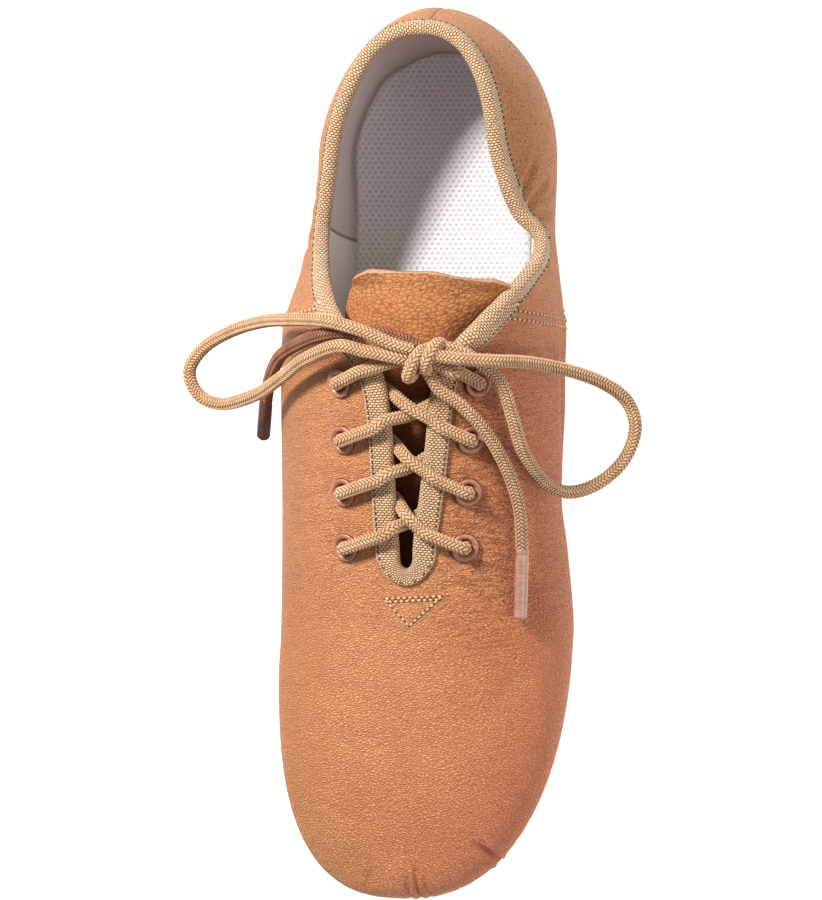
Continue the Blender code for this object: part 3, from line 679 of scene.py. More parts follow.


# %% Braid finish
# Each tone has a light and a deep colour, and a dark colour painted between the floats as painted shade.
BraidTone = namedtuple("BraidTone", "light deep gap")
STRAW = BraidTone((0.760, 0.470, 0.250), (0.530, 0.272, 0.136), (0.090, 0.026, 0.010))
# The rose tone is darker and pinker than the straw: partly the lace's own tone, partly painted shade.
ROSE_SHADE_TONE = BraidTone((0.620, 0.350, 0.205), (0.430, 0.205, 0.112), (0.085, 0.024, 0.010))
# The third tone is a darker copy of the straw, painted shade for the lace's inner end under the inner loop.
SHADED_LACE_TONE = BraidTone((0.400, 0.165, 0.078), (0.200, 0.066, 0.030), (0.026, 0.006, 0.003))
ROSE_FROM, ROSE_TO = 18.0, 60.0


def make_braid_finish(name, colours, far=None):
    """The braid's finish; with a second tone the lace turns to it on its way from the knot, partly its own
    pinker tone and partly painted shade.
    """
    made, shader, place, uv = new_finish(name, Roughness=0.85, Sheen_Weight=0.06, Sheen_Roughness=0.5)
    along, around, _ = axes(uv)
    first = around * YARNS + along / YARN_STEP
    second = around * YARNS - along / YARN_STEP
    over = (first.floor() + second.floor()) % 4 < 2
    across = over * (first % 1) + (1 - over) * (second % 1)
    on_first = (second + first.floor()) % 4
    on_second = (first + second.floor()) % 4 - 2
    lengthwise = (over * on_first + (1 - over) * on_second) * 0.5
    ridge = (across * math.pi).sin().larger(0.0) ** RIDGE_POWER
    height = ridge * (FLOAT_END + FLOAT_RISE * (lengthwise * math.pi).sin().larger(0.0))
    fibres = (across * (math.pi * 6)).sin() * 0.5 + noise(place, 3.0, 2.0)
    tone = noise(place, 0.25, 3.0).ramp(0.3, 0.75) * 0.6 + fibres * 0.2
    # The spaces between the floats are painted dark: painted shade.
    gap_shading = (1 - height.ramp(0.2, 0.8)) * 0.88
    colour = gap_shading.blend(tone.blend(colours.light, colours.deep), colours.gap)
    if far:
        turned = gap_shading.blend(tone.blend(far.light, far.deep), far.gap)
        colour = along.ramp(ROSE_FROM, ROSE_TO).blend(colour, turned)
    connect(shader, Base_Color=colour, Normal=bump(height + fibres * 0.16, 0.34, 0.9))
    return made


braid = make_braid_finish("straw_braid", STRAW)
rose_shaded_braid = make_braid_finish("rose_shaded_braid", STRAW, ROSE_SHADE_TONE)
shaded_end_braid = make_braid_finish("shaded_end_braid", SHADED_LACE_TONE)

# %% Rolling a braid round a route
AROUND = 56
BRAID_STEP = 0.24
ROUTE_STEPS = 24


def smooth_route(points, spacing):
    """Evenly spaced points on a smooth curve through a route's own points."""
    points = [Vector(point) for point in points]
    padded = [2 * points[0] - points[1]] + points + [2 * points[-1] - points[-2]]
    fine = []
    for p0, p1, p2, p3 in zip(padded, padded[1:], padded[2:], padded[3:]):
        for i in range(ROUTE_STEPS):
            t = i / ROUTE_STEPS
            bend = (2 * p0 - 5 * p1 + 4 * p2 - p3) * t**2 + (3 * p1 - p0 - 3 * p2 + p3) * t**3
            fine.append((2 * p1 + (p2 - p0) * t + bend) / 2)
    fine.append(points[-1])
    return even_steps(fine, spacing)


def even_steps(line, spacing):
    way = [0.0]
    for a, b in zip(line, line[1:]):
        way.append(way[-1] + (b - a).length)
    count = max(2, round(way[-1] / spacing))
    found = []
    for i in range(count + 1):
        target = way[-1] * i / count
        k = min(bisect_right(way, target), len(line) - 1)
        share = (target - way[k - 1]) / max(way[k] - way[k - 1], 1e-9)
        found.append(line[k - 1].lerp(line[k], min(1.0, share)))
    return found


def route_frames(route):
    """Each point with two directions across the route, which turn with it and don't twist."""
    across = (route[1] - route[0]).orthogonal().normalized()
    found = []
    for i, point in enumerate(route):
        ahead = (route[min(i + 1, len(route) - 1)] - route[max(i - 1, 0)]).normalized()
        across = (across - ahead * across.dot(ahead)).normalized()
        found.append((point, across, ahead.cross(across)))
    return found


def roll(shape, route, radius_at, around):
    """A closed tube: a grid rolled up round a route; radius_at takes millimetres along and a share around."""
    spots = route_frames(route)
    step = (route[1] - route[0]).length

    def place(i, j):
        point, across, up = spots[i]
        turn = 2 * math.pi * j / around
        return point + (across * math.cos(turn) + up * math.sin(turn)) * radius_at(i * step, j / around % 1)

    made = grid_sheet(shape, len(route), around + 1, place, lambda i, j: (i * step, j / around))
    bmesh.ops.remove_doubles(shape, verts=made, dist=0.001)
    bmesh.ops.holes_fill(shape, edges=shape.edges, sides=around)
    bmesh.ops.recalc_face_normals(shape, faces=shape.faces)


def braid_radius(along, around):
    return LACE_OUTER - BRAID_RELIEF * (1 - braid_height(along, around))


# %% [markdown]
# ## Bow: two loops and two ends
# The bow's loops and ends are free cord. Their routes are listed points, the same as in the plain
# model. Each loop starts and ends in the knot, and each end leaves the knot and carries a clear tip.

# %% Loops
LOOP_MEDIAL = [
    (1.4, 30.4, 82.4), (-5.2, 33.4, 83.0), (-11.4, 35.4, 82.4), (-18.4, 36.8, 79.0), (-30.0, 37.2, 68.0),
    (-40.0, 36.8, 54.0), (-51.0, 34.4, 41.0), (-60.5, 29.8, 33.4), (-65.4, 23.2, 30.0), (-62.4, 16.4, 30.8),
    (-54.6, 13.9, 35.6), (-43.0, 16.6, 47.0), (-33.4, 21.4, 59.6), (-25.2, 26.2, 70.0), (-14.4, 29.8, 78.6),
    (-6.4, 28.4, 80.6), (1.8, 26.8, 80.9),
]
LOOP_LATERAL = [
    (13.4, 27.1, 81.8), (21.0, 26.2, 81.0), (29.6, 25.7, 75.0), (37.2, 25.2, 62.4), (46.4, 22.9, 48.6),
    (53.9, 19.5, 38.4), (59.2, 14.5, 31.2), (61.0, 6.9, 27.6), (57.5, -2.1, 27.4), (50.4, -8.6, 30.2),
    (43.0, -10.8, 35.4), (37.8, -7.7, 43.4), (33.8, 0.2, 53.6), (32.0, 10.5, 62.2), (30.2, 18.6, 67.8),
    (26.8, 23.4, 72.0), (22.4, 26.9, 75.4), (18.4, 28.8, 77.2), (14.4, 29.4, 78.4),
]
END_MEDIAL = [
    (2.6, 32.2, 76.8), (-6.6, 33.8, 77.4), (-13.4, 33.8, 77.2), (-19.6, 33.0, 74.2), (-26.4, 31.0, 67.8),
    (-33.6, 28.0, 57.4), (-38.0, 24.4, 47.0), (-41.0, 20.2, 38.6), (-43.2, 15.6, 31.6),
]
END_LATERAL = [
    (13.6, 17.8, 74.6), (18.8, 13.6, 70.8), (24.8, 6.2, 64.2), (29.4, -4.3, 55.6), (31.8, -15.0, 49.4),
    (32.2, -26.4, 46.8),
]
INTO_KNOT = [(7.0, 28.6, 80.4), (7.4, 25.6, 79.2)]
KNOT_BEHIND = [(10.8, 28.8, 78.2), (8.0, 27.4, 77.4)]
END_MEDIAL_IN, END_LATERAL_IN = (8.8, 29.2, 77.8), (10.6, 23.0, 77.2)
PATH_SPACING = 4.0


def free_lace(name, points, node, finish=braid):
    """A free stretch of lace, rolled as a braid round its route, with its real length printed."""
    route = smooth_route(points, BRAID_STEP)
    shape = bmesh.new()
    roll(shape, route, braid_radius, AROUND)
    made = piece(name, shape, [finish], "braided_lace", node)
    length = sum((b - a).length for a, b in zip(route, route[1:])) * MM
    tuple(route[0] * MM)
    [tuple(p * MM) for p in even_steps(route, PATH_SPACING)]
    print(name, "is", round(length / MM), "mm long")


loop_medial = INTO_KNOT[:1] + LOOP_MEDIAL + INTO_KNOT[1:]
free_lace("bow_loop_medial", loop_medial, "lace_loop_medial")
free_lace("bow_loop_lateral", LOOP_LATERAL + KNOT_BEHIND, "lace_loop_lateral")

# %% [markdown]
# ## Tips
# A strip of clear film is rolled round each end, so that it goes through an eyelet. It could be a plain
# cylinder; a tube with a lapped edge, a crimp and a rounded end looks rolled. The inner tip is painted dark
# brown, a painted shade.

# %% Tip finish
PLASTIC = (0.500, 0.270, 0.200)
PLASTIC_DEEP = (0.350, 0.170, 0.118)
# A darker copy of the film's colours, painted shade for the inner tip.
PLASTIC_SHADED = (0.190, 0.078, 0.056)
PLASTIC_SHADED_DEEP = (0.105, 0.040, 0.027)


def make_tip_finish(name, light, deep, roughness, coat):
    made, shader, place, uv = new_finish(
        name, Roughness=roughness, Specular_IOR_Level=0.2, Coat_Weight=coat, Coat_Roughness=0.1
    )
    along, around, _ = axes(uv)
    wrapped = noise(stretched(place, 0.0, (1.0, 1.0, 2.5)), 0.7, 3.0)
    left = ((around * YARNS + along / YARN_STEP) * math.pi).sin()
    right = ((around * YARNS - along / YARN_STEP) * math.pi).sin()
    tone = wrapped.ramp(0.35, 0.7) * 0.6 + (left * right).ramp(-0.3, 0.8) * 0.35
    connect(shader, Base_Color=tone.blend(deep, light), Normal=bump(wrapped, 0.12, 0.4))
    return made


film = make_tip_finish("clear_film", PLASTIC, PLASTIC_DEEP, roughness=0.3, coat=0.7)
shaded_tip_film = make_tip_finish("shaded_tip_film", PLASTIC_SHADED, PLASTIC_SHADED_DEEP, roughness=0.6, coat=0.0)

# %% Tips and ends
AGLET_TIP_MEDIAL = (-46.4, 4.8, 18.6)
AGLET_TIP_LATERAL = (31.0, -46.0, 43.0)
AGLET_RADIUS = 1.9
AGLET_OVER_LACE = 0.3
AGLET_STEP = 0.3
AGLET_AROUND = 28
ROUND_END, END_SHARE = 0.7, 0.55
CRIMP_DEPTH, CRIMP_AT, CRIMP_WIDTH = 0.16, 2.2, 0.6
LAP_HEIGHT, LAP_START, LAP_END = 0.1, 0.06, 0.94


def aglet(name, route, tip, node, finish):
    """A wrapped film tip: a straight tube with a rounded end, a lapped edge and a crimp near the lace."""
    last = Vector(route[-1])
    direction = (Vector(tip) - last).normalized()
    line = even_steps([last - direction * AGLET_OVER_LACE, Vector(tip)], AGLET_STEP)
    total = (line[-1] - line[0]).length

    def radius(along, around):
        from_end = min(along, total - along)
        rounding = math.sqrt(max(0.0, 1 - max(0.0, 1 - from_end / ROUND_END) ** 2))
        crimp = CRIMP_DEPTH * math.exp(-(((along - CRIMP_AT) / CRIMP_WIDTH) ** 2))
        lap = LAP_HEIGHT * smooth_step(0.0, LAP_START, around) * (1 - smooth_step(LAP_END, 1.0, around))
        return AGLET_RADIUS * (END_SHARE + (1 - END_SHARE) * rounding) - crimp - LAP_HEIGHT + lap

    shape = bmesh.new()
    roll(shape, line, radius, AGLET_AROUND)
    return piece(name, shape, [finish], "aglet_plastic", node)


# The inner tip takes the darker film: painted shade.
tip_medial = aglet("film_tip_medial", END_MEDIAL, AGLET_TIP_MEDIAL, "aglet_medial", shaded_tip_film)
tip_lateral = aglet("film_tip_lateral", END_LATERAL, AGLET_TIP_LATERAL, "aglet_lateral", film)
end_medial, end_lateral = [END_MEDIAL_IN] + END_MEDIAL, [END_LATERAL_IN] + END_LATERAL
# The inner end takes the darker copy of the straw: painted shade under the inner loop.
free_lace("bow_end_medial", end_medial, "lace_end_medial", shaded_end_braid)
# The outer end turns darker and pinker towards its tip: partly its own tone, partly painted shade.
free_lace("bow_end_lateral", end_lateral, "lace_end_lateral", rose_shaded_braid)

# %% [markdown]
# ## Knot
# A true knot winds in and out, but only its outer turns show. Two turns wrap over the middle of the bow and
# one strand lies across between them. They are rolled like the rest of the lace and joined in one mesh.

# %% Knot
KNOT_LOBES = [
    [
        (10.6, 28.8, 76.2), (9.8, 28.4, 79.8), (8.2, 26.2, 82.8),
        (6.5, 23.2, 81.8), (5.6, 21.1, 78.8), (6.4, 22.2, 75.2),
    ],
    [
        (14.4, 30.4, 76.6), (14.0, 30.2, 80.4), (12.6, 27.9, 83.1),
        (11.0, 25.2, 82.0), (10.3, 23.4, 78.8), (11.0, 24.6, 75.4),
    ],
    [(6.0, 28.4, 78.6), (9.0, 27.6, 78.6), (12.0, 27.2, 78.6), (15.0, 27.6, 79.4)],
]
knot_shape = bmesh.new()
for lobe in KNOT_LOBES:
    roll(knot_shape, smooth_route(lobe, BRAID_STEP), braid_radius, AROUND)
piece("bow_knot", knot_shape, [braid], "braided_lace", "lace_knot")

# %% [markdown]
# ## Lacing through the eyelets
# Two strands zigzag up the throat. Each comes up through an eyelet, runs over its own flap and the binding,
# crosses the slit, dives under the other flap and comes up through the next eyelet there. The outer strand
# crosses over the inner one. The heights are lace radii above or below the leather.

# %% Strands
EyeletRow = namedtuple("EyeletRow", "along medial lateral")
EYELETS = [
    EyeletRow(105.4, -16.0, 22.6),
    EyeletRow(121.1, -15.9, 20.0),
    EyeletRow(135.7, -16.6, 18.4),
    EyeletRow(151.1, -16.8, 16.8),
]
EYELET_SPOTS = {}
for number, row in enumerate(EYELETS, start=1):
    EYELET_SPOTS[MEDIAL, number] = surface_at(MEDIAL, row.along, row.medial)
    EYELET_SPOTS[LATERAL, number] = surface_at(LATERAL, row.along, row.lateral)

RISE_OWN = {MEDIAL: 5.2, LATERAL: 5.8}
RISE_FAR = {MEDIAL: 8.6, LATERAL: 12.6}
CROSS_HEIGHT = {MEDIAL: -2.4, LATERAL: 1.7}
UNDER_FLAP = -5.4
IN_EYELET = (-2.2, 0.9)
LEAVING_UP, LEAVING_ACROSS = 2.8, 1.5
OVER_OWN_FLAP = [(0.45, 2.9), (0.8, 3.3)]
OVER_EDGE, PAST_FAR_EDGE = 2.5, 1.2
KNOT_ENTRY = {
    MEDIAL: [(1.0, 25.4, 77.2), (7.0, 26.4, 78.4)],
    LATERAL: [(17.4, 22.6, 76.2), (10.4, 25.8, 77.4)],
}
STRANDS = [
    [(MEDIAL, 4), (LATERAL, 3), (MEDIAL, 2), (LATERAL, 1)],
    [(LATERAL, 4), (MEDIAL, 3), (LATERAL, 2), (MEDIAL, 1)],
]


def over_flap(side, along, x, height):
    point, normal = surface_at(side, along, x)
    return point + normal * height


def strand_points(stops):
    """A strand's route: up each eyelet, over its own flap, across the slit and under the other flap."""
    points = []
    for side, number in stops:
        along = EYELETS[number - 1].along
        spot, normal = EYELET_SPOTS[side, number]
        own = along - RISE_OWN[side]
        edge = edge_point(side, own)
        towards = (edge - spot).normalized()
        points.append(spot + normal * UNDER_FLAP + towards)
        points += [spot + normal * height for height in IN_EYELET]
        points.append(spot + normal * LEAVING_UP + towards * LEAVING_ACROSS)
        for share, height in OVER_OWN_FLAP:
            x = spot.x + (edge.x - spot.x) * share
            points.append(over_flap(side, along - RISE_OWN[side] * share, x, height))
        if number == 1:
            points += [Vector(point) for point in KNOT_ENTRY[side]]
            continue
        far = along - RISE_FAR[side]
        middle = (edge_point(MEDIAL, (own + far) / 2) + edge_point(LATERAL, (own + far) / 2)) / 2
        points.append(edge + Vector((0.0, 0.0, OVER_EDGE)))
        points.append(middle + Vector((0.0, 0.0, CROSS_HEIGHT[side])))
        opposite = edge_point(-side, far)
        points.append(over_flap(-side, far, opposite.x - side * PAST_FAR_EDGE, UNDER_FLAP))
        half = (opposite + EYELET_SPOTS[-side, number - 1][0]) / 2
        points.append(over_flap(-side, y_of(half.y), half.x, UNDER_FLAP))
    return points


strand_shape = bmesh.new()
for stops in STRANDS:
    roll(strand_shape, smooth_route(strand_points(stops), BRAID_STEP), braid_radius, AROUND)
piece("laced_strands", strand_shape, [braid], "braided_lace", *[f"lace_cross_{i}" for i in range(1, 5)])

# %% [markdown]
# ## Leather
# The upper is a soft full-grain leather. Its pebbles are small cells, so the distance to the nearest Voronoi
# edge gives them, bent by noise so that they don't look drawn. Fine folds run across the foot, mostly beside
# the throat, and the heel shows pores; the crevices, folds and pores are painted darker as painted shade. The
# colour is caramel: darker and redder on the outer side and the toe, partly its own tone and partly painted
# shade, painted darker on the inner side as painted shade, and browner at the heel. Each of these zones is a
# ramp along one axis of the shoe.

# %% Leather finish
LEATHER_LIGHT = (0.750, 0.338, 0.154)
LEATHER_DEEP = (0.645, 0.264, 0.114)
# Darker, redder colour of the outer side and toe: partly the leather's own tone, partly painted shade.
LEATHER_BLUSH_AND_SHADE = (0.620, 0.200, 0.099)
# Deeper colour for the inner side: painted shade.
INNER_SIDE_SHADE = (0.535, 0.221, 0.074)
HEEL_TAN = (0.560, 0.264, 0.102)
TONGUE_LIGHT = (0.610, 0.250, 0.097)
TONGUE_DEEP = (0.500, 0.188, 0.070)
# Dark colour for the tongue under the lacing: painted shade.
THROAT_SHADE = (0.150, 0.050, 0.019)
# Share of the deep colour painted into the crevices: painted shade.
CREVICE_SHADE_SHARE = (0.40, 0.27, 0.22)
DARKEST = 0.85
BEND = 0.45
BACK_SEAM_X = 7.0
ARCH_SEAM_X = 0.2


def line_at(axis, place, half, fade):
    """1 on a line across an axis, 0 beside it; the widths are in millimetres."""
    return 1 - zone(abs(axis - place * MM), half, fade)


def leather(name, light, deep, pebble_mm, depth_mm, shade_under_lacing=0.0):
    """Leather between two tones; the last argument is how strongly a painted shade darkens it under the
    lacing.
    """
    made, shader, place, _ = new_finish(name, Specular_IOR_Level=0.15)
    x, y, z = axes(place)
    drift = place.add("ShaderNodeTexNoise", sockets={"Vector": place, "Scale": 0.7 / MM}, output=1)
    bent = place.add(
        "ShaderNodeVectorMath", {"operation": "MULTIPLY_ADD"}, {0: drift, 1: (BEND * MM,) * 3, 2: place}
    )
    cells = place.add(
        "ShaderNodeTexVoronoi", {"feature": "DISTANCE_TO_EDGE"},
        {"Vector": stretched(bent, 0.2, (1.65, 0.85, 1.0)), "Scale": 1 / (pebble_mm * MM)},
    )
    pebbles, crevices = cells.ramp(0.0, 0.36), 1 - cells.ramp(0.0, 0.15)
    soft, grit, patches = noise(place, 0.3, 3.0), noise(place, 1.6, 2.0), noise(place, 0.045, 3.0)
    heel_side = zone(y, 20, 60)
    beside_throat = zone(x, 2, 20) * (1 - zone(x, 25, 37) * 0.85)
    folds = noise(stretched(bent, 0.12, (3.4, 0.66, 3.0)), 0.62, 3.0, 0.55, 0.4)
    folds = (1 - abs(folds - 0.5).ramp(0.0, 0.05)) * (0.35 + beside_throat * 0.65)
    folds = folds * (1 - heel_side * 0.8) * (0.2 + zone(y, -66, -34) * 0.8)
    pores = noise(stretched(place, 0.0, (0.9, 1.9, 0.9)), 1.5, 1.0).ramp(0.62, 0.70) * (0.2 + heel_side * 0.8)
    # The outer side and toe turn darker and redder, except at the heel: partly the leather's own tone, partly
    # painted shade.
    blush_and_shade = zone(x, 4, 36) * 0.66 + zone(0 - y, 70, 122) * zone(x, -36, 4) * 0.55
    tone = patches.ramp(0.32, 0.72) * 0.55 + soft.ramp(0.35, 0.7) * 0.25 + grit.ramp(0.3, 0.7) * 0.25
    colour = (blush_and_shade * (1 - heel_side)).blend(tone.blend(light, deep), LEATHER_BLUSH_AND_SHADE)
    # The inner side is painted darker: painted shade.
    colour = (zone(0 - x, 22, 38) * 0.6).blend(colour, INNER_SIDE_SHADE)
    colour = (heel_side * 0.7).blend(colour, HEEL_TAN)
    back_seam = line_at(x, BACK_SEAM_X, 0.15, 0.55) * zone(y, 110, 116)
    arch_seam = line_at(x, ARCH_SEAM_X, 0.2, 0.6) * (1 - zone(z, 11, 13))
    # Painted shade: the crevices of the grain, the folds and the pores are darkened, together with the dark
    # seam lines.
    shade = crevices * 0.66 + folds * 0.46 + pores * 0.6 + back_seam * 0.9 + arch_seam * 0.8
    crevice_shade = tuple(channel * share for channel, share in zip(deep, CREVICE_SHADE_SHARE))
    colour = shade.smaller(DARKEST).blend(colour, crevice_shade)
    # Painted shade on the tongue under the lacing and the flaps.
    if shade_under_lacing:
        colour = ((1 - zone(y, 16, 30)) * shade_under_lacing).blend(colour, THROAT_SHADE)
    height = pebbles * 0.8 + soft * 0.4 + grit * 0.25 - folds * 0.9 - pores * 0.6
    relief = bump(height, depth_mm, 0.9)
    connect(shader, Base_Color=colour, Roughness=0.42 + crevices * 0.3, Normal=relief)
    return made


upper_leather = leather("caramel_leather", LEATHER_LIGHT, LEATHER_DEEP, pebble_mm=0.72, depth_mm=0.36)
tongue_leather = leather(
    "tongue_leather", TONGUE_LIGHT, TONGUE_DEEP, pebble_mm=1.25, depth_mm=0.13, shade_under_lacing=0.8
)
print("leather has", len(upper_leather.node_tree.nodes), "nodes")

# %% [markdown]
# ## Lining
# Inside, the heel is lined with grey suede and the front with a smooth paler cloth; they meet in a slanted
# seam on each side. Two meshes would need a cut along the seam. One material holds both instead, split by a
# line across the shoe.

# %% Lining finish
SUEDE, SUEDE_BRUSHED = (0.760, 0.655, 0.640), (0.840, 0.750, 0.735)
FRONT_LINING, FRONT_LINING_LIGHT = (0.965, 0.915, 0.880), (0.980, 0.940, 0.910)
LINING_SEAM = (0.08, 0.06, 0.06)
LINING_SEAM_Y, LINING_SEAM_LEAN = 43.0, 1.0


def make_lining():
    made, shader, place, _ = new_finish("lining", Roughness=0.95, Sheen_Weight=0.25, Sheen_Roughness=0.6)
    _, y, z = axes(place)
    seam = y - z * LINING_SEAM_LEAN - LINING_SEAM_Y * MM
    heel_part = zone(seam, -0.2, 0.2)
    line = 1 - zone(abs(seam), 0.25, 0.6)
    nap = noise(place, 2.2, 4.0, 0.7)
    weave = noise(stretched(place, 0.0, (1.0, 1.0, 3.0)), 3.0, 2.0)
    suede = nap.ramp(0.3, 0.75).blend(SUEDE, SUEDE_BRUSHED)
    cloth = weave.ramp(0.3, 0.7).blend(FRONT_LINING, FRONT_LINING_LIGHT)
    colour = (line * 0.65).blend(heel_part.blend(cloth, suede), LINING_SEAM)
    connect(shader, Base_Color=colour, Normal=bump(nap * heel_part + weave * 0.4 - line, 0.18, 0.6))
    return made


lining = make_lining()
print("lining turns from suede to cloth at", LINING_SEAM_Y, "mm")

# %% [markdown]
# ## Creases, seams and pleats
# Soft leather keeps the marks of its making. Each crease is a row of a table in the shoe's own
# millimetres: a soft trough, with a ridge on either side, between two points. The seam between vamp and
# quarter is a small step, the toe is gathered in pleats under its edge, and each eyelet sinks in a little.

# %% Tables of marks
Crease = namedtuple("Crease", "x0 y0 x1 y1 width depth")
TOP_CREASES = [
    Crease(17.0, -110.5, 24.5, -119.0, 1.0, 1.25),
    Crease(15.0, -109.5, 18.5, -113.0, 1.6, 0.35),
    Crease(-1.5, -116.0, -1.8, -125.0, 0.8, 0.8),
    Crease(0.8, -118.5, 0.9, -124.5, 0.7, 0.4),
    Crease(-4.0, -118.5, -4.4, -125.0, 0.9, 0.55),
    Crease(-13.5, -116.5, -16.0, -121.5, 1.0, 0.4),
    Crease(24.5, -52.0, 31.0, -66.0, 3.4, 0.7),
    Crease(31.0, -38.0, 36.5, -52.0, 2.4, 0.6),
    Crease(21.0, -74.0, 29.0, -62.0, 3.0, 0.35),
    Crease(-30.0, -8.0, -19.5, -4.0, 1.3, 0.28),
    Crease(-31.0, -13.0, -20.0, -10.5, 1.2, 0.25),
    Crease(-30.5, 8.0, -20.5, 11.5, 1.4, 0.30),
    Crease(-33.0, -22.0, -21.0, -19.0, 1.4, 0.28),
    Crease(-32.0, 20.0, -21.0, 24.5, 1.7, 0.35),
    Crease(21.5, -5.0, 29.0, -9.0, 1.4, 0.30),
    Crease(22.5, -16.0, 30.0, -19.5, 1.5, 0.30),
    Crease(-26.0, -46.0, 6.0, -50.5, 2.8, 0.18),
    Crease(-30.0, -78.0, 14.0, -83.0, 3.6, 0.18),
]
UNDER_CREASES = [
    Crease(-26.0, 18.0, -9.0, 5.0, 2.2, 0.7),
    Crease(-29.0, 6.0, -12.0, -3.0, 2.0, 0.6),
    Crease(8.0, 10.0, 26.0, 24.0, 2.2, 0.8),
    Crease(10.0, 2.0, 29.0, 11.0, 2.0, 0.6),
    Crease(9.0, 26.0, 24.0, 32.0, 1.8, 0.5),
    Crease(-20.0, 30.0, -7.0, 22.0, 1.8, 0.4),
    Crease(-3.0, 27.0, -22.0, 17.0, 1.2, 0.6),
    Crease(-6.0, 23.5, -28.0, 13.0, 1.2, 0.6),
    Crease(-10.0, 19.5, -29.0, 9.5, 1.2, 0.5),
    Crease(-13.0, 14.0, -27.0, 6.0, 1.3, 0.45),
    Crease(4.0, 26.5, 22.0, 18.0, 1.2, 0.6),
    Crease(8.0, 22.5, 28.0, 13.0, 1.2, 0.6),
    Crease(12.0, 18.0, 30.0, 8.0, 1.3, 0.5),
    Crease(5.0, 31.0, 18.0, 26.0, 1.1, 0.4),
]
SideCrease = namedtuple("SideCrease", "side y0 z0 y1 z1 width depth")
SIDE_CREASES = [
    SideCrease(LATERAL, 68.5, 45.0, 76.0, 35.0, 1.3, 1.0),
    SideCrease(LATERAL, 66.0, 44.0, 67.0, 31.0, 1.2, 1.1),
    SideCrease(LATERAL, 63.5, 44.0, 57.5, 33.0, 1.3, 1.0),
    SideCrease(LATERAL, 71.0, 47.5, 82.0, 41.0, 1.2, 0.8),
    SideCrease(LATERAL, 61.0, 46.0, 50.5, 40.0, 1.4, 0.7),
    SideCrease(LATERAL, 70.0, 40.0, 74.0, 28.0, 1.1, 0.6),
    SideCrease(MEDIAL, 66.0, 45.0, 73.0, 33.0, 1.6, 0.6),
    SideCrease(MEDIAL, 62.0, 44.0, 57.0, 31.0, 1.6, 0.6),
    SideCrease(MEDIAL, 40.0, 30.0, 10.0, 22.0, 2.6, 0.5),
    SideCrease(LATERAL, 36.0, 30.0, 4.0, 23.0, 2.6, 0.5),
    SideCrease(LATERAL, 30.0, 44.0, 22.0, 30.0, 2.2, 0.5),
]
SEAM_AT_EDGE, SEAM_AT_BOTTOM, SEAM_STEP = 83.0, 89.5, 0.45
SIDE_LOW, SIDE_HIGH = 18, 70
PLEATS, PLEAT_SPREAD, PLEAT_DEPTH = 17, math.radians(150), 1.15
PLEATS_AWAY, PLEATS_FULL = 12, 18
PLEATS_LOW, PLEATS_TOP = 11.5, 17.5
FOLD_POWER, FOLD_MIDDLE = 0.55, 0.8
EYELET_DIP, EYELET_DIP_RADIUS, EYELET_DIP_WIDTH = 0.35, 5.0, 1.7
ARCH_SEAM_DEPTH, ARCH_SEAM_WIDTH = 0.45, 0.8
BACK_SEAM_DEPTH, BACK_SEAM_WIDTH = 0.4, 0.6
CREASE_FADE, CREASE_REACH = 0.3, 4
SIDE_RIDGE, SIDE_RIDGE_AT = 0.45, 1.7
print(len(TOP_CREASES) + len(UNDER_CREASES) + len(SIDE_CREASES), "creases and", PLEATS, "pleats")


# %% Height of the marks
def crease_height(rows, x, y):
    """Sum of the troughs at a place: each row ends with start, end, width and depth of one trough."""
    total = 0.0
    for row in rows:
        x0, y0, x1, y1, width, depth = row[-6:]
        dx, dy = x1 - x0, y1 - y0
        size = math.hypot(dx, dy)
        t = ((x - x0) * dx + (y - y0) * dy) / size**2
        off = ((x - x0) * dy - (y - y0) * dx) / (size * width)
        if not -CREASE_FADE < t < 1 + CREASE_FADE or abs(off) > CREASE_REACH:
            continue
        fade = smooth_step(-CREASE_FADE, CREASE_FADE, min(t, 1 - t))
        ridge = SIDE_RIDGE * math.exp(-((abs(off) - SIDE_RIDGE_AT) ** 2))
        total += fade * depth * (ridge - math.exp(-off * off))
    return total


def seam_along(share):
    """Where the seam between vamp and quarter runs, from the bottom to the edge."""
    return SEAM_AT_BOTTOM + (SEAM_AT_EDGE - SEAM_AT_BOTTOM) * share / 2


def pleat_height(point):
    """Gathers under the edge of the toe, fanned round the end of the spine."""
    fan = spine_point(LENGTH)
    away = math.hypot(point.x - fan.x, point.y - fan.y)
    turn = math.atan2(point.x - fan.x, fan.y - point.y)
    if abs(turn) > PLEAT_SPREAD / 2:
        return 0.0
    fold = abs(math.sin(math.pi * PLEATS * (turn / PLEAT_SPREAD + 0.5)))
    fade = smooth_step(PLEATS_AWAY, PLEATS_FULL, away) * (1 - smooth_step(PLEATS_LOW, PLEATS_TOP, point.z))
    fade *= 1 - smooth_step(0.42, 0.5, abs(turn) / PLEAT_SPREAD)
    return PLEAT_DEPTH * fade * (fold**FOLD_POWER - FOLD_MIDDLE)


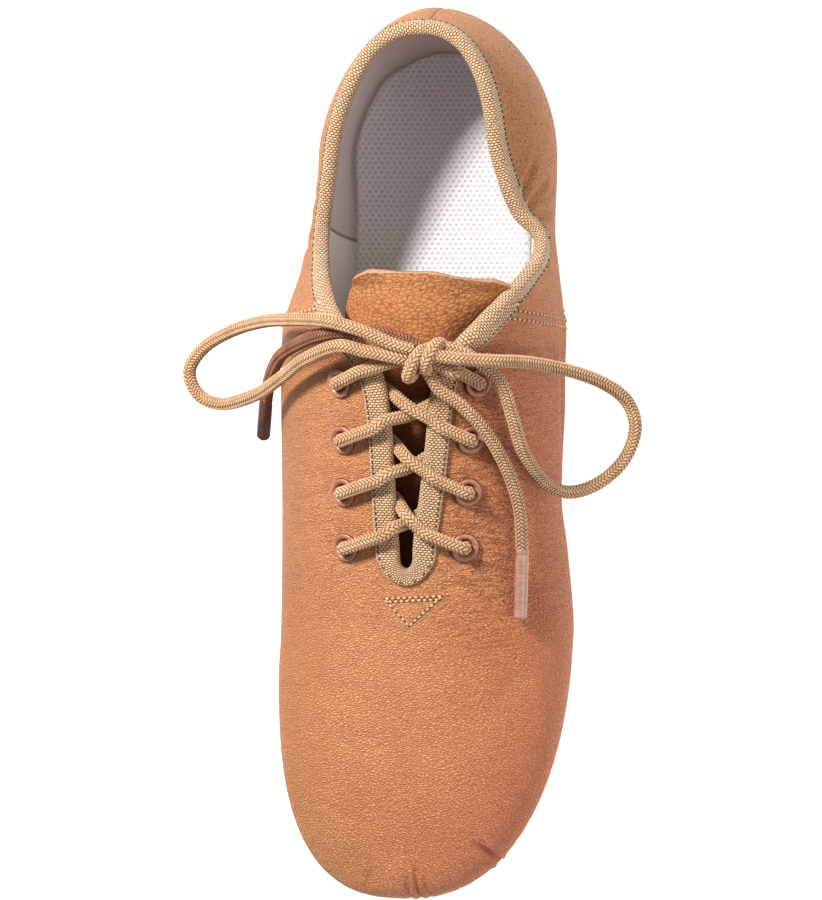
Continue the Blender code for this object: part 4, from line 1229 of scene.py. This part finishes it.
def mark_height(point, normal):
    """Sum of all marks at a point of the leather, in millimetres along its normal."""
    x, y, z = point
    height = 0.0
    if normal.z > -0.15:
        height += crease_height(TOP_CREASES, x, y)
        for spot, _ in EYELET_SPOTS.values():
            off = ((point - spot).length - EYELET_DIP_RADIUS) / EYELET_DIP_WIDTH
            height -= EYELET_DIP * math.exp(-off * off)
    steep = smooth_step(0.35, 0.6, abs(normal.x))
    if steep:
        rows = [row for row in SIDE_CREASES if row.side * normal.x > 0]
        height += steep * crease_height(rows, y, z)
    if normal.z < 0.1:
        height += crease_height(UNDER_CREASES, x, y)
        height += pleat_height(point)
        arch = smooth_step(-22, -12, y) * (1 - smooth_step(45, 55, y))
        if normal.z < -0.5:
            height -= ARCH_SEAM_DEPTH * arch * math.exp(-(((x - ARCH_SEAM_X) / ARCH_SEAM_WIDTH) ** 2))
    if y > 100 and z > 14:
        off = (x - BACK_SEAM_X) / BACK_SEAM_WIDTH
        height -= BACK_SEAM_DEPTH * math.exp(-off * off) * smooth_step(108, 116, y)
    return height


def seam_step(point):
    """The vamp lies over the quarter: a step at the seam, which fades out forwards."""
    share = 1.0 + smooth_step(SIDE_LOW, SIDE_HIGH, point.z) if point.z > SIDE_LOW else point.z / SIDE_LOW
    ahead = y_of(point.y) - seam_along(share)
    return SEAM_STEP * smooth_step(-0.5, 0.5, ahead) * (1 - smooth_step(4, 18, ahead))


# %% [markdown]
# ## Upper
# The upper is one skin of leather with a lining. It is lofted through the sections of the last, and each
# point is then moved along its normal by the height of the marks there. Faces inside an eyelet's hole are cut
# out, and a wall on the inner side gives the leather its thickness and carries the lining.

# %% Upper
LOW_STEPS, HIGH_STEPS = 30, 40
LOW_SHARES = [i / LOW_STEPS for i in range(LOW_STEPS + 1)]
HIGH_SHARES = [1.0 + i / HIGH_STEPS for i in range(1, HIGH_STEPS + 1)]
HOLE_RADIUS = 2.7

skin_shape = loft(STATIONS, LOW_SHARES + HIGH_SHARES)
heights = [mark_height(vertex.co, vertex.normal) + seam_step(vertex.co) for vertex in skin_shape.verts]
for vertex, height in zip(skin_shape.verts, heights):
    vertex.co += vertex.normal * height
skin_shape.normal_update()
SKIN = BVHTree.FromBMesh(skin_shape)
punched = [
    face for face in skin_shape.faces
    if any((face.calc_center_median() - spot).length < HOLE_RADIUS for spot, _ in EYELET_SPOTS.values())
]
bmesh.ops.delete(skin_shape, geom=punched, context="FACES")
upper = piece("upper_leather", skin_shape, [upper_leather, lining], "upper_leather", "upper")
thicken(upper, WALL, inner=1, rim=1)

# %% [markdown]
# ## Binding
# A woven tape is folded over the edge of collar and throat and sewn down. Its section is a flat U; swept
# round the edge it is again a grid, one way along the edge and the other round the section. Where the section
# lies on the leather it is set on the creased surface, so it follows every mark. The weave is drawn in the
# tape's own UV map, in millimetres, so that it turns with the tape.

# %% Tape finish
TAPE_LIGHT = (0.900, 0.590, 0.330)
TAPE_DEEP = (0.680, 0.405, 0.205)
# Dark colour painted between the floats: painted shade.
TAPE_GAP_SHADE = (0.140, 0.052, 0.020)
WEFT_PITCH, WARP_PITCH = 0.72, 1.2
SELVEDGE = 1.6


def make_tape_finish():
    made, shader, place, uv = new_finish("woven_tape", Roughness=0.9, Sheen_Weight=0.2, Sheen_Roughness=0.5)
    along, across, _ = axes(uv)
    uneven = noise(place, 0.9, 3.0)
    weft = along / WEFT_PITCH + uneven * 0.5
    warp = across / WARP_PITCH + (weft.floor() % 2) * 0.5 + uneven * 0.6
    float_height = ((weft % 1) * math.pi).sin() ** 0.8 * ((warp % 1) * math.pi).sin() ** 0.75
    fuzz = noise(place, 4.0, 2.0)
    colour = (uneven.ramp(0.3, 0.72) * 0.7).blend(TAPE_LIGHT, TAPE_DEEP)
    # The spaces between the floats are painted dark, a painted shade, a little less near the tape's outer
    # edge.
    gap_shading = (1 - float_height.ramp(0.08, 0.72)) * (0.7 + across.ramp(SELVEDGE - 0.3, SELVEDGE + 0.3) * 0.3)
    colour = gap_shading.blend(colour, TAPE_GAP_SHADE)
    connect(shader, Base_Color=colour, Normal=bump(float_height + fuzz * 0.2, 0.36, 0.9))
    return made


tape = make_tape_finish()
print("the weave is", WEFT_PITCH, "x", WARP_PITCH, "mm")

# %% Edge route
EDGE_SAMPLES = 700
TAPE_STEP = 0.55
NORMAL_REACH = 5


def edge_route():
    """Points round the edge of the leather with the surface's normal and the direction into the leather."""
    fine = [THROAT_END * (1 - math.cos(math.pi * i / EDGE_SAMPLES)) / 2 for i in range(EDGE_SAMPLES + 1)]
    line = [edge_point(MEDIAL, along) for along in fine]
    line += [edge_point(LATERAL, along) for along in reversed(fine)]
    route = even_steps(line, TAPE_STEP)[:-1]
    count = len(route)
    raw = [SKIN.find_nearest(point)[1] for point in route]
    found = []
    for i, point in enumerate(route):
        ahead = (route[(i + 2) % count] - route[i - 2]).normalized()
        normal = sum((raw[(i + k) % count] for k in range(-NORMAL_REACH, NORMAL_REACH + 1)), Vector())
        normal = (normal - ahead * normal.dot(ahead)).normalized()
        found.append((point, normal, ahead.cross(normal)))
    return found


EDGE_ROUTE = edge_route()
print("edge is", round(len(EDGE_ROUTE) * TAPE_STEP), "mm round")

# %% Sweeping the tape
TAPE_OUT, TAPE_LEG, TAPE_INNER_LEG = 1.15, 5.5, 5.0
TAPE_TOP, TAPE_INSIDE, TAPE_LINING = 1.05, 2.75, 3.25
GATHER, GATHER_LENGTH = 0.32, 5
BEND_STEPS = 12


def tape_profile():
    """(depth into the leather, height over it) round the folded tape, from its outer edge over the fold."""
    bend = []
    centre, half = (TAPE_OUT - TAPE_INSIDE) / 2, (TAPE_OUT + TAPE_INSIDE) / 2
    for i in range(1, BEND_STEPS):
        turn = math.pi * (i / BEND_STEPS)
        bend.append((0.5 - (TAPE_TOP + 0.5) * math.sin(turn), centre + half * math.cos(turn)))
    outer = [(TAPE_LEG, 0.15), (TAPE_LEG + 0.12, 0.5), (TAPE_LEG, 0.85), (TAPE_LEG - 0.45, TAPE_OUT)]
    outer += [(depth, TAPE_OUT) for depth in (4.5, 3.9, 3.2, 2.6, 2.0, 1.5, 1.0, 0.5)]
    inner = [(0.5, -TAPE_INSIDE), (1.6, -TAPE_INSIDE), (2.8, -TAPE_INSIDE - 0.15)]
    inner += [(TAPE_INNER_LEG - 0.4, -TAPE_LINING), (TAPE_INNER_LEG, -TAPE_LINING + 0.4)]
    inner.append((TAPE_INNER_LEG, -2.0))
    return outer + bend + inner + [(2.4, -1.75), (-0.15, -1.7), (-0.15, 0.1), (3.0, 0.1)]


def on_skin(point, normal, into, depth, height):
    """A point of the tape: so deep into the leather from the edge, and so high over it."""
    gathered = 1 - GATHER * smooth_step(THROAT_END - GATHER_LENGTH, THROAT_END, y_of(point.y))
    base, up = point + into * depth * gathered, normal
    if depth > 0.5:
        base, up, _, _ = SKIN.find_nearest(base)
        up = up.lerp(normal, 0.25).normalized()
    return base + up * height


PROFILE = tape_profile()
PROFILE_WAY = [0.0]
for (depth0, height0), (depth1, height1) in zip(PROFILE, PROFILE[1:]):
    PROFILE_WAY.append(PROFILE_WAY[-1] + math.hypot(depth1 - depth0, height1 - height0))
TAPE_WAY = [0.0]
for i in range(len(EDGE_ROUTE)):
    ends = [EDGE_ROUTE[k % len(EDGE_ROUTE)] for k in (i, i + 1)]
    a, b = [point + into * TAPE_LEG / 2 for point, _, into in ends]
    TAPE_WAY.append(TAPE_WAY[-1] + (b - a).length)
tape_shape = bmesh.new()
grid_sheet(
    tape_shape, len(EDGE_ROUTE) + 1, len(PROFILE) + 1,
    lambda i, j: on_skin(*EDGE_ROUTE[i % len(EDGE_ROUTE)], *PROFILE[j % len(PROFILE)]),
    lambda i, j: (TAPE_WAY[i], PROFILE_WAY[min(j, len(PROFILE) - 1)]),
)
bmesh.ops.remove_doubles(tape_shape, verts=tape_shape.verts, dist=0.001)
bmesh.ops.recalc_face_normals(tape_shape, faces=tape_shape.faces)
piece("folded_tape", tape_shape, [tape], "woven_tape", "binding")

# %% [markdown]
# ## Tongue
# The tongue is a loose flap of thicker leather with a coarser grain and a pale cut edge. It is a curved sheet
# with a wall, pressed down a little where the laced flaps lie on it, and painted darker under the lacing as
# painted shade.

# %% Tongue
TongueRow = namedtuple("TongueRow", "along x crest half_width drop")
TONGUE = [
    TongueRow(75, 7.2, 76.6, 11.0, 3.4),
    TongueRow(77, 6.8, 75.9, 17.5, 8.6),
    TongueRow(81, 6.3, 74.4, 20.5, 12.0),
    TongueRow(88, 5.6, 71.9, 21.5, 13.0),
    TongueRow(98, 5.0, 68.4, 21.5, 12.6),
    TongueRow(112, 4.0, 63.4, 21.0, 11.0),
    TongueRow(130, 2.6, 57.2, 19.0, 8.0),
    TongueRow(148, 1.2, 51.4, 16.0, 5.0),
    TongueRow(157, 0.7, 49.2, 14.0, 3.4),
    TongueRow(163, 0.5, 48.3, 12.0, 2.4),
    TongueRow(168, 0.3, 48.2, 10.0, 1.5),
    TongueRow(176, 0.2, 46.2, 7.0, 0.9),
]
TONGUE_THICKNESS = 1.6
TONGUE_PRESS = 4.0
TONGUE_WIDER, TONGUE_SQUARE, TONGUE_FALL = 6.4, 3.2, 2.6
TONGUE_TUCK = 5.0
TONGUE_COLUMNS, TONGUE_ROWS = 150, 64
TONGUE_CURVES = {name: Curve(TONGUE, name) for name in ("x", "crest", "half_width", "drop")}
CUT_EDGE, CUT_EDGE_DEEP = (0.560, 0.330, 0.190), (0.43, 0.235, 0.125)


def tongue_point(i, j):
    share = i / (TONGUE_COLUMNS - 1)
    along = TONGUE[0].along + (TONGUE[-1].along - TONGUE[0].along) * share**1.25
    x, crest, half, drop = (TONGUE_CURVES[name](along) for name in ("x", "crest", "half_width", "drop"))
    u = 2 * j / (TONGUE_ROWS - 1) - 1
    press = TONGUE_PRESS * smooth_step(98, 112, along) * (1 - smooth_step(150, 166, along))
    ripple = 0.1 * math.sin(0.5 * along + 2.0 * u) * math.sin(3.1 * u + 0.2 * along)
    wider = TONGUE_WIDER * smooth_step(0.2, 1.0, u) * (1 - smooth_step(82, 98, along))
    wider += TONGUE_SQUARE * u * (1 - smooth_step(75, 79, along))
    fall = TONGUE_FALL * smooth_step(0.1, 1.0, u) * (1 - smooth_step(76, 100, along))
    tuck = TONGUE_TUCK * smooth_step(0.35, 1.0, u) * (1 - smooth_step(88, 106, along))
    return Vector((x + half * u + wider, y_of(along) - fall, crest - drop * u * u - press - tuck + ripple))


edge_finish, edge_shader, edge_place, _ = new_finish("cut_leather_edge", Roughness=0.9)
edge_tone = noise(edge_place, 1.6, 3.0).ramp(0.3, 0.7)
edge_colour = edge_tone.blend(CUT_EDGE, CUT_EDGE_DEEP)
connect(edge_shader, Base_Color=edge_colour, Normal=bump(edge_tone, 0.2, 0.6))
tongue_shape = bmesh.new()
grid_sheet(tongue_shape, TONGUE_COLUMNS, TONGUE_ROWS, tongue_point)
tongue_shape.normal_update()
if sum(face.normal.z for face in tongue_shape.faces) < 0:
    bmesh.ops.reverse_faces(tongue_shape, faces=tongue_shape.faces)
tongue = piece("leather_tongue", tongue_shape, [tongue_leather, edge_finish], "tongue_leather", "tongue")
thicken(tongue, TONGUE_THICKNESS, inner=1, rim=1)

# %% [markdown]
# ## Sock
# A white sock lies on the bottom, pressed all over with small dimples in staggered rows. Thousands of them in
# the mesh would cost more than they show, because they are shallow, so the finish gives them, from the place
# in the shoe, as a bump and a painted shade in each dimple. The sock's edge is a table of shares of each
# section.

# %% Sock
SOCK_WHITE, SOCK_GREY = (0.710, 0.684, 0.692), (0.660, 0.634, 0.642)
# Darker colour for the dimples: painted shade.
SOCK_DIMPLE_SHADE = (0.500, 0.474, 0.484)
DIMPLE_X, DIMPLE_Y = 1.7, 1.35
SOCK_STEPS = 18
SockEdge = namedtuple("SockEdge", "along medial lateral")
SOCK_EDGE = [
    SockEdge(0, 0.34, 0.34),
    SockEdge(5, 0.40, 0.44),
    SockEdge(15, 0.51, 0.60),
    SockEdge(30, 0.53, 0.60),
    SockEdge(45, 0.485, 0.57),
    SockEdge(62, 0.415, 0.54),
    SockEdge(74, 0.39, 0.52),
    SockEdge(250, 0.45, 0.45),
]
SOCK_REACH = {MEDIAL: Curve(SOCK_EDGE, "medial"), LATERAL: Curve(SOCK_EDGE, "lateral")}
SOCK_THICKNESS = 2.2


def make_sock_finish():
    made, shader, place, _ = new_finish("sock_cloth", Roughness=0.9, Sheen_Weight=0.2)
    x, y, _ = axes(place)
    row = y / (DIMPLE_Y * MM)
    column = x / (DIMPLE_X * MM) + (row.floor() % 2) * 0.5
    off_x = (column % 1 - 0.5) * (DIMPLE_X / DIMPLE_Y)
    off_y = row % 1 - 0.5
    away = (off_x * off_x + off_y * off_y) ** 0.5
    dimple = 1 - away.ramp(0.16, 0.42)
    fibre = noise(place, 2.4, 3.0)
    cloth = fibre.ramp(0.25, 0.75).blend(SOCK_GREY, SOCK_WHITE)
    # The dimples are painted darker: painted shade in each hollow.
    colour = (dimple * 0.75).blend(cloth, SOCK_DIMPLE_SHADE)
    connect(shader, Base_Color=colour, Normal=bump(fibre * 0.25 - dimple, 0.3, 0.8))
    return made


sock_shape = loft(stations(COARSE_SPACING), [i / SOCK_STEPS for i in range(SOCK_STEPS + 1)], SOCK_REACH)
swell(sock_shape, -(WALL + 2 * GAP))
sock = piece("dimpled_sock", sock_shape, [make_sock_finish()], "sock_fabric", "insole")
thicken(sock, SOCK_THICKNESS)

# %% [markdown]
# ## Eyelets
# Each eyelet is a small painted metal ring with a dished flange, pressed through the leather. Its section is
# drawn once as a chain of edges and spun round, then set on the leather. The outer rim of its flange is
# painted dark, a painted shade where the ring meets the leather.

# %% Eyelets
EYELET_SECTION = [
    (4.05, 0.1), (4.15, 0.35), (3.95, 0.68), (3.55, 0.88), (3.1, 0.86), (2.75, 0.66),
    (2.45, 0.3), (2.25, -0.4), (2.2, -1.6), (2.3, -2.3), (2.8, -2.7), (3.5, -2.6),
    (3.6, -2.2), (2.75, -2.0), (2.65, -0.2), (3.2, 0.05),
]
EYELET_STEPS = 40
PAINT = (0.385, 0.150, 0.076)
PAINT_WORN = (0.500, 0.222, 0.122)
# Dark colours for the flange's outer rim: painted shade where it meets the leather.
RIM_SHADE, RIM_SHADE_PALE = (0.075, 0.022, 0.010), (0.120, 0.038, 0.018)
FLANGE = 3.98


def make_paint():
    made, shader, place, _ = new_finish("eyelet_paint", Metallic=0.05, Coat_Weight=0.15, Coat_Roughness=0.3)
    wear = noise(place, 0.8, 4.0).ramp(0.42, 0.72)
    grain = noise(place, 3.0, 2.0)
    connect(
        shader, Base_Color=wear.blend(PAINT, PAINT_WORN), Roughness=0.38 + grain * 0.15,
        Normal=bump(grain, 0.05, 0.4),
    )
    return made


paint = make_paint()
# The rim's dark finish is painted shade.
rim_shade_finish, rim_shader, rim_place, _ = new_finish("rim_painted_shade", Roughness=0.8)
connect(rim_shader, Base_Color=noise(rim_place, 1.2, 2.0).blend(RIM_SHADE, RIM_SHADE_PALE))
for (side, number), (spot, normal) in EYELET_SPOTS.items():
    ring_shape = bmesh.new()
    section = [ring_shape.verts.new((radius, 0.0, height)) for radius, height in EYELET_SECTION]
    for a, b in zip(section, section[1:] + section[:1]):
        ring_shape.edges.new((a, b))
    bmesh.ops.spin(
        ring_shape, geom=ring_shape.verts[:] + ring_shape.edges[:], cent=(0, 0, 0), axis=(0, 0, 1),
        dvec=(0, 0, 0), angle=2 * math.pi, steps=EYELET_STEPS, use_merge=True,
    )
    bmesh.ops.remove_doubles(ring_shape, verts=ring_shape.verts, dist=0.001)
    bmesh.ops.recalc_face_normals(ring_shape, faces=ring_shape.faces)
    # Faces at the outer rim take the dark finish, a painted shade.
    for face in ring_shape.faces:
        away = math.hypot(*face.calc_center_median().xy)
        face.material_index = 0 if away < FLANGE else 1
    seat = Matrix.Translation(spot) @ normal.to_track_quat("Z", "Y").to_matrix().to_4x4()
    bmesh.ops.transform(ring_shape, matrix=seat, verts=ring_shape.verts)
    word = "medial" if side == MEDIAL else "lateral"
    piece(f"ring_{word}_{number}", ring_shape, [paint, rim_shade_finish], "eyelet_metal", f"eyelet_{word}_{number}")

# %% [markdown]
# ## Forefoot patch and heel
# The sole is split: a rubber patch under the ball of the foot and a low heel block, both with a tread of
# small pyramids. A grid whose faces are poked gives the pyramids. Cutting planes along the outline trim it
# like a punch. The sheet then takes the form of the bottom of the last, and a copy of it on top closes the
# solid.

# %% Rubber finish
RUBBER = (0.560, 0.265, 0.112)
RUBBER_DEEP = (0.300, 0.112, 0.040)
HEEL_FOAM = (0.540, 0.270, 0.125)
HEEL_FOAM_DEEP = (0.300, 0.112, 0.044)
BREAST_RED = (0.330, 0.118, 0.056)


def rubber(name, light, deep, pitch, turn, side_colour=None):
    """Rubber whose grooves are painted dark as painted shade, in step with the tread; above the tread it may
    have another colour.
    """
    made, shader, place, _ = new_finish(name, Roughness=0.62, Specular_IOR_Level=0.4)
    x, y, _ = axes(stretched(place, turn, (pitch * MM, pitch * MM, 1.0)))
    groove_shade = abs(x % 1 - 0.5).larger(abs(y % 1 - 0.5)).ramp(0.3, 0.5)
    mottled = noise(place, 0.12, 4.0)
    foam = noise(place, 2.6, 3.0)
    colour = (mottled.ramp(0.3, 0.7) * 0.25 + foam * 0.2).blend(light, deep)
    # The grooves between the pyramids are painted darker: painted shade.
    colour = (groove_shade * 0.8).blend(colour, deep)
    if side_colour:
        _, _, height = axes(place)
        colour = zone(height, 1.0, 2.0).blend(colour, side_colour)
    connect(shader, Base_Color=colour, Normal=bump(foam, 0.1, 0.5), Roughness=0.55 + mottled * 0.2)
    return made


# %% Outlines and treads
TREAD_DEPTH = 0.8
SHARP = math.radians(25)
OUTLINE_STEPS = 120
SOLE_MIDDLE, SOLE_HALF_LENGTH, SOLE_HALF_WIDTH, SOLE_POWER = 183.0, 48.5, 39.6, 2.45
SOLE_SLANT, SOLE_X, SOLE_TOP, SOLE_FLAT, SOLE_PITCH = 0.22, 0.2, 13.0, 0.45, 2.05
HEEL_MIDDLE, HEEL_BACK, HEEL_FRONT, HEEL_HALF_WIDTH = 40.0, 35.0, 25.0, 29.6
HEEL_BACK_POWER, HEEL_FRONT_POWER, BREAST_SLANT, HEEL_PITCH = 2.1, 5.0, 8.0, 2.2


def superellipse(half_x, half_y, power, angle):
    c, s = math.cos(angle), math.sin(angle)
    reach = (abs(c) ** power + abs(s) ** power) ** (-1 / power)
    return half_x * reach * c, half_y * reach * s


def sole_outline():
    points = []
    for i in range(OUTLINE_STEPS):
        x, y = superellipse(SOLE_HALF_WIDTH, SOLE_HALF_LENGTH, SOLE_POWER, 2 * math.pi * i / OUTLINE_STEPS)
        points.append(Vector((SOLE_X + x, y_of(SOLE_MIDDLE) + y + SOLE_SLANT * x, 0.0)))
    return points


def heel_outline():
    points = []
    for i in range(OUTLINE_STEPS):
        angle = 2 * math.pi * i / OUTLINE_STEPS
        behind = math.sin(angle) >= 0
        half, power = (HEEL_BACK, HEEL_BACK_POWER) if behind else (HEEL_FRONT, HEEL_FRONT_POWER)
        x, y = superellipse(HEEL_HALF_WIDTH, half, power, angle)
        points.append(Vector((HEEL_TIP_X + x, y_of(HEEL_MIDDLE) + y, 0.0)))
    return points


def tread(outline, pitch, turn):
    """A sheet of small pyramids pointing down, punched out along a convex outline."""
    shape = bmesh.new()
    middle = sum(outline, Vector()) / len(outline)
    cells = 2 * math.ceil(max((p - middle).length for p in outline) / pitch) + 2
    snapped = Vector([math.floor(v / pitch) * pitch for v in (Matrix.Rotation(-turn, 3, "Z") @ middle)])
    place = Matrix.Rotation(turn, 4, "Z") @ Matrix.Translation((snapped.x, snapped.y, TREAD_DEPTH))
    bmesh.ops.create_grid(shape, x_segments=cells, y_segments=cells, size=cells * pitch / 2, matrix=place)
    bmesh.ops.poke(shape, faces=shape.faces, offset=-TREAD_DEPTH)
    for a, b in zip(outline, outline[1:] + outline[:1]):
        out = (b - a).cross(Vector((0, 0, 1)))
        geometry = shape.verts[:] + shape.edges[:] + shape.faces[:]
        bmesh.ops.bisect_plane(shape, geom=geometry, dist=0.0001, plane_co=a, plane_no=out, clear_outer=True)
    bmesh.ops.remove_doubles(shape, verts=shape.verts, dist=0.02)
    for vertex in shape.verts:
        if vertex.is_boundary:
            vertex.co.z = TREAD_DEPTH
    return shape


def close_over(shape, bottom_of, top_of):
    """Takes a tread to its form: its points to the bottom's, a copy to the top's, and a wall round them."""
    copied = bmesh.ops.duplicate(shape, geom=shape.verts[:] + shape.edges[:] + shape.faces[:])["geom"]
    top = {item for item in copied if isinstance(item, bmesh.types.BMVert)}
    for vertex in shape.verts:
        vertex.co = top_of(vertex.co) if vertex in top else bottom_of(vertex.co)
    rims = [edge for edge in shape.edges if edge.is_boundary]
    bmesh.ops.bridge_loops(shape, edges=rims)
    bmesh.ops.recalc_face_normals(shape, faces=shape.faces)
    return shape


def last_form(distance):
    form = loft(stations(COARSE_SPACING), LOW_SHARES)
    swell(form, distance)
    tree = BVHTree.FromBMesh(form)
    form.free()
    return tree


def height_on(tree, x, y):
    hit = tree.ray_cast(Vector((x, y, -30.0)), Vector((0, 0, 1)))[0]
    return hit.z if hit else SOLE_TOP


SEAT = last_form(GAP)
SOLE_FORM = last_form(GAP + SOLE_THICKNESS + SOLE_FLAT)

# %% Forefoot patch
def patch_bottom(p):
    return Vector((p.x, p.y, min(SOLE_TOP - 1.0, p.z + max(0.0, height_on(SOLE_FORM, p.x, p.y)))))


def patch_top(p):
    return Vector((p.x, p.y, min(SOLE_TOP, height_on(SEAT, p.x, p.y))))


patch_shape = close_over(tread(sole_outline(), SOLE_PITCH, 0.0), patch_bottom, patch_top)
tan_rubber = rubber("tan_rubber", RUBBER, RUBBER_DEEP, SOLE_PITCH, 0.0)
patch = piece("forefoot_patch", patch_shape, [tan_rubber], "sole_rubber", "forefoot_sole")
patch.data.set_sharp_from_angle(angle=SHARP)

# %% Heel block
def heel_top(p):
    """Up to the seat; the breast at the front leans forward on the way."""
    ahead = max(0.0, (y_of(HEEL_MIDDLE) - p.y) / HEEL_FRONT)
    height = HEEL_HEIGHT
    for _ in range(4):
        y = p.y - BREAST_SLANT * ahead * height / HEEL_HEIGHT
        height = height_on(SEAT, p.x, y)
    return Vector((p.x, y, height))


heel_shape = close_over(tread(heel_outline(), HEEL_PITCH, math.pi / 4), Vector.copy, heel_top)
heel_foam = rubber("heel_foam", HEEL_FOAM, HEEL_FOAM_DEEP, HEEL_PITCH, math.pi / 4, BREAST_RED)
heel = piece("heel_block", heel_shape, [heel_foam], "heel_foam", "heel")
heel.data.set_sharp_from_angle(angle=SHARP)

# %% [markdown]
# ## Stitches
# Every seam shows its thread. A stitch is a small bead, stretched along the row and half sunk in the leather;
# hundreds of them are joined in one mesh. The rows follow lines on the creased surface.

# %% Stitches
THREAD, THREAD_DEEP = (0.760, 0.490, 0.250), (0.56, 0.33, 0.15)
# Dark thread for the tape's stitches; the same finish is painted shade in the needle holes.
DARK_THREAD_AND_HOLE_SHADE, DARK_THREAD_AND_HOLE_SHADE_PALE = (0.060, 0.026, 0.014), (0.11, 0.05, 0.025)
Stitch = namedtuple("Stitch", "pitch length radius")
SIDE_STITCH = Stitch(2.3, 1.65, 0.37)
BOTTOM_STITCH = Stitch(2.3, 1.6, 0.3)
TACK_STITCH = Stitch(1.7, 1.25, 0.34)
SIDE_ROWS, BOTTOM_ROW = (1.3, 3.5), -1.6
SIDE_ROW_END, BOTTOM_ROW_END = 1.84, 0.95
ARCH_ROWS, ARCH_ROW_Y = (-2.1, 2.1), range(-14, 56)
LINE_STEPS, TACK_STEPS = 60, 20
PROUD, SUNK = 0.06, 0.1


def thread_finish(name, colour, shade):
    made, shader, place, _ = new_finish(name, Roughness=0.7, Sheen_Weight=0.2)
    twist = noise(stretched(place, 0.6, (1.0, 0.35, 1.0)), 2.5, 2.0)
    connect(shader, Base_Color=twist.ramp(0.3, 0.7).blend(colour, shade), Normal=bump(twist, 0.1, 0.6))
    return made


def bead(shape, base, up, ahead, length, radius, material=0):
    """A small round form stretched along a row."""
    ahead = (ahead - up * ahead.dot(up)).normalized()
    turn = Matrix((ahead, up.cross(ahead), up)).transposed().to_4x4()
    seat = Matrix.Translation(base) @ turn @ Matrix.Diagonal((length / 2, radius, radius, 1.0))
    made = bmesh.ops.create_uvsphere(shape, u_segments=6, v_segments=5, radius=1.0, matrix=seat)["verts"]
    for face in {face for vertex in made for face in vertex.link_faces}:
        face.material_index = material


def stitch_row(shape, line, stitch):
    """Stitches along a line near the surface, each seated on it, with a sunk dark bead between two as painted
    shade in the needle hole.
    """
    spots = even_steps(line, stitch.pitch)
    for a, b in zip(spots, spots[1:]):
        base, up, _, _ = SKIN.find_nearest((a + b) / 2)
        bead(shape, base + up * PROUD, up, b - a, stitch.length, stitch.radius)
        base, up, _, _ = SKIN.find_nearest(b)
        # A dark bead sunk in each needle hole: painted shade.
        hole = stitch.pitch - stitch.length + 0.4
        bead(shape, base - up * SUNK, up, b - a, hole, stitch.radius * 1.15, 1)


def seam_line(side, offset, end):
    """A line beside the seam between vamp and quarter, from the bottom up to a share of the section."""
    shares = [end * i / LINE_STEPS for i in range(LINE_STEPS + 1)]
    return [section_point(side, seam_along(share) + offset, share) for share in shares]


# %% Side and arch seams
thread = thread_finish("gold_thread", THREAD, THREAD_DEEP)
dark_thread_and_hole_shade = thread_finish("dark_thread_and_hole_shade", DARK_THREAD_AND_HOLE_SHADE, DARK_THREAD_AND_HOLE_SHADE_PALE)
seam_shape = bmesh.new()
for side in SIDES:
    for offset in SIDE_ROWS:
        stitch_row(seam_shape, seam_line(side, offset, SIDE_ROW_END), SIDE_STITCH)
    stitch_row(seam_shape, seam_line(side, BOTTOM_ROW, BOTTOM_ROW_END), BOTTOM_STITCH)
for x in ARCH_ROWS:
    row = [Vector((x + ARCH_SEAM_X, y, height_on(SKIN, x, y))) for y in ARCH_ROW_Y]
    stitch_row(seam_shape, row, BOTTOM_STITCH)
print(len(seam_shape.faces), "faces of thread in the seams")

# %% Triangle on the vamp
TACK = [Vector((-6.1, -40.5, 0)), Vector((10.2, -39.7, 0)), Vector((0.6, -48.1, 0))]
SECOND_ROW = Vector((0.0, -0.9, 0.0))
ABOVE = 150.0


def on_vamp(point):
    return SKIN.ray_cast(Vector((point.x, point.y, ABOVE)), Vector((0, 0, -1)))[0]


for a, b in zip(TACK, TACK[1:] + TACK[:1]):
    stitch_row(seam_shape, [on_vamp(a.lerp(b, i / TACK_STEPS)) for i in range(TACK_STEPS + 1)], TACK_STITCH)
inner_row = [TACK[0].lerp(TACK[1], i / TACK_STEPS) + SECOND_ROW for i in range(1, TACK_STEPS)]
stitch_row(seam_shape, [on_vamp(point) for point in inner_row], TACK_STITCH)
piece("seam_stitches", seam_shape, [thread, dark_thread_and_hole_shade], "upper_leather")

# %% Stitches on the tape
TAPE_ROW_IN = 0.85
TAPE_STITCH_EVERY = 3
TAPE_STITCH_LENGTH, TAPE_STITCH_RADIUS = 1.4, 0.29

tape_row = bmesh.new()
for i in range(0, len(EDGE_ROUTE) - TAPE_STITCH_EVERY, TAPE_STITCH_EVERY):
    first, second = (on_skin(*EDGE_ROUTE[k], TAPE_LEG - TAPE_ROW_IN, TAPE_OUT) for k in (i, i + 2))
    up = EDGE_ROUTE[i + 1][1]
    bead(tape_row, (first + second) / 2, up, second - first, TAPE_STITCH_LENGTH, TAPE_STITCH_RADIUS)
piece("tape_stitches", tape_row, [dark_thread_and_hole_shade], "woven_tape")
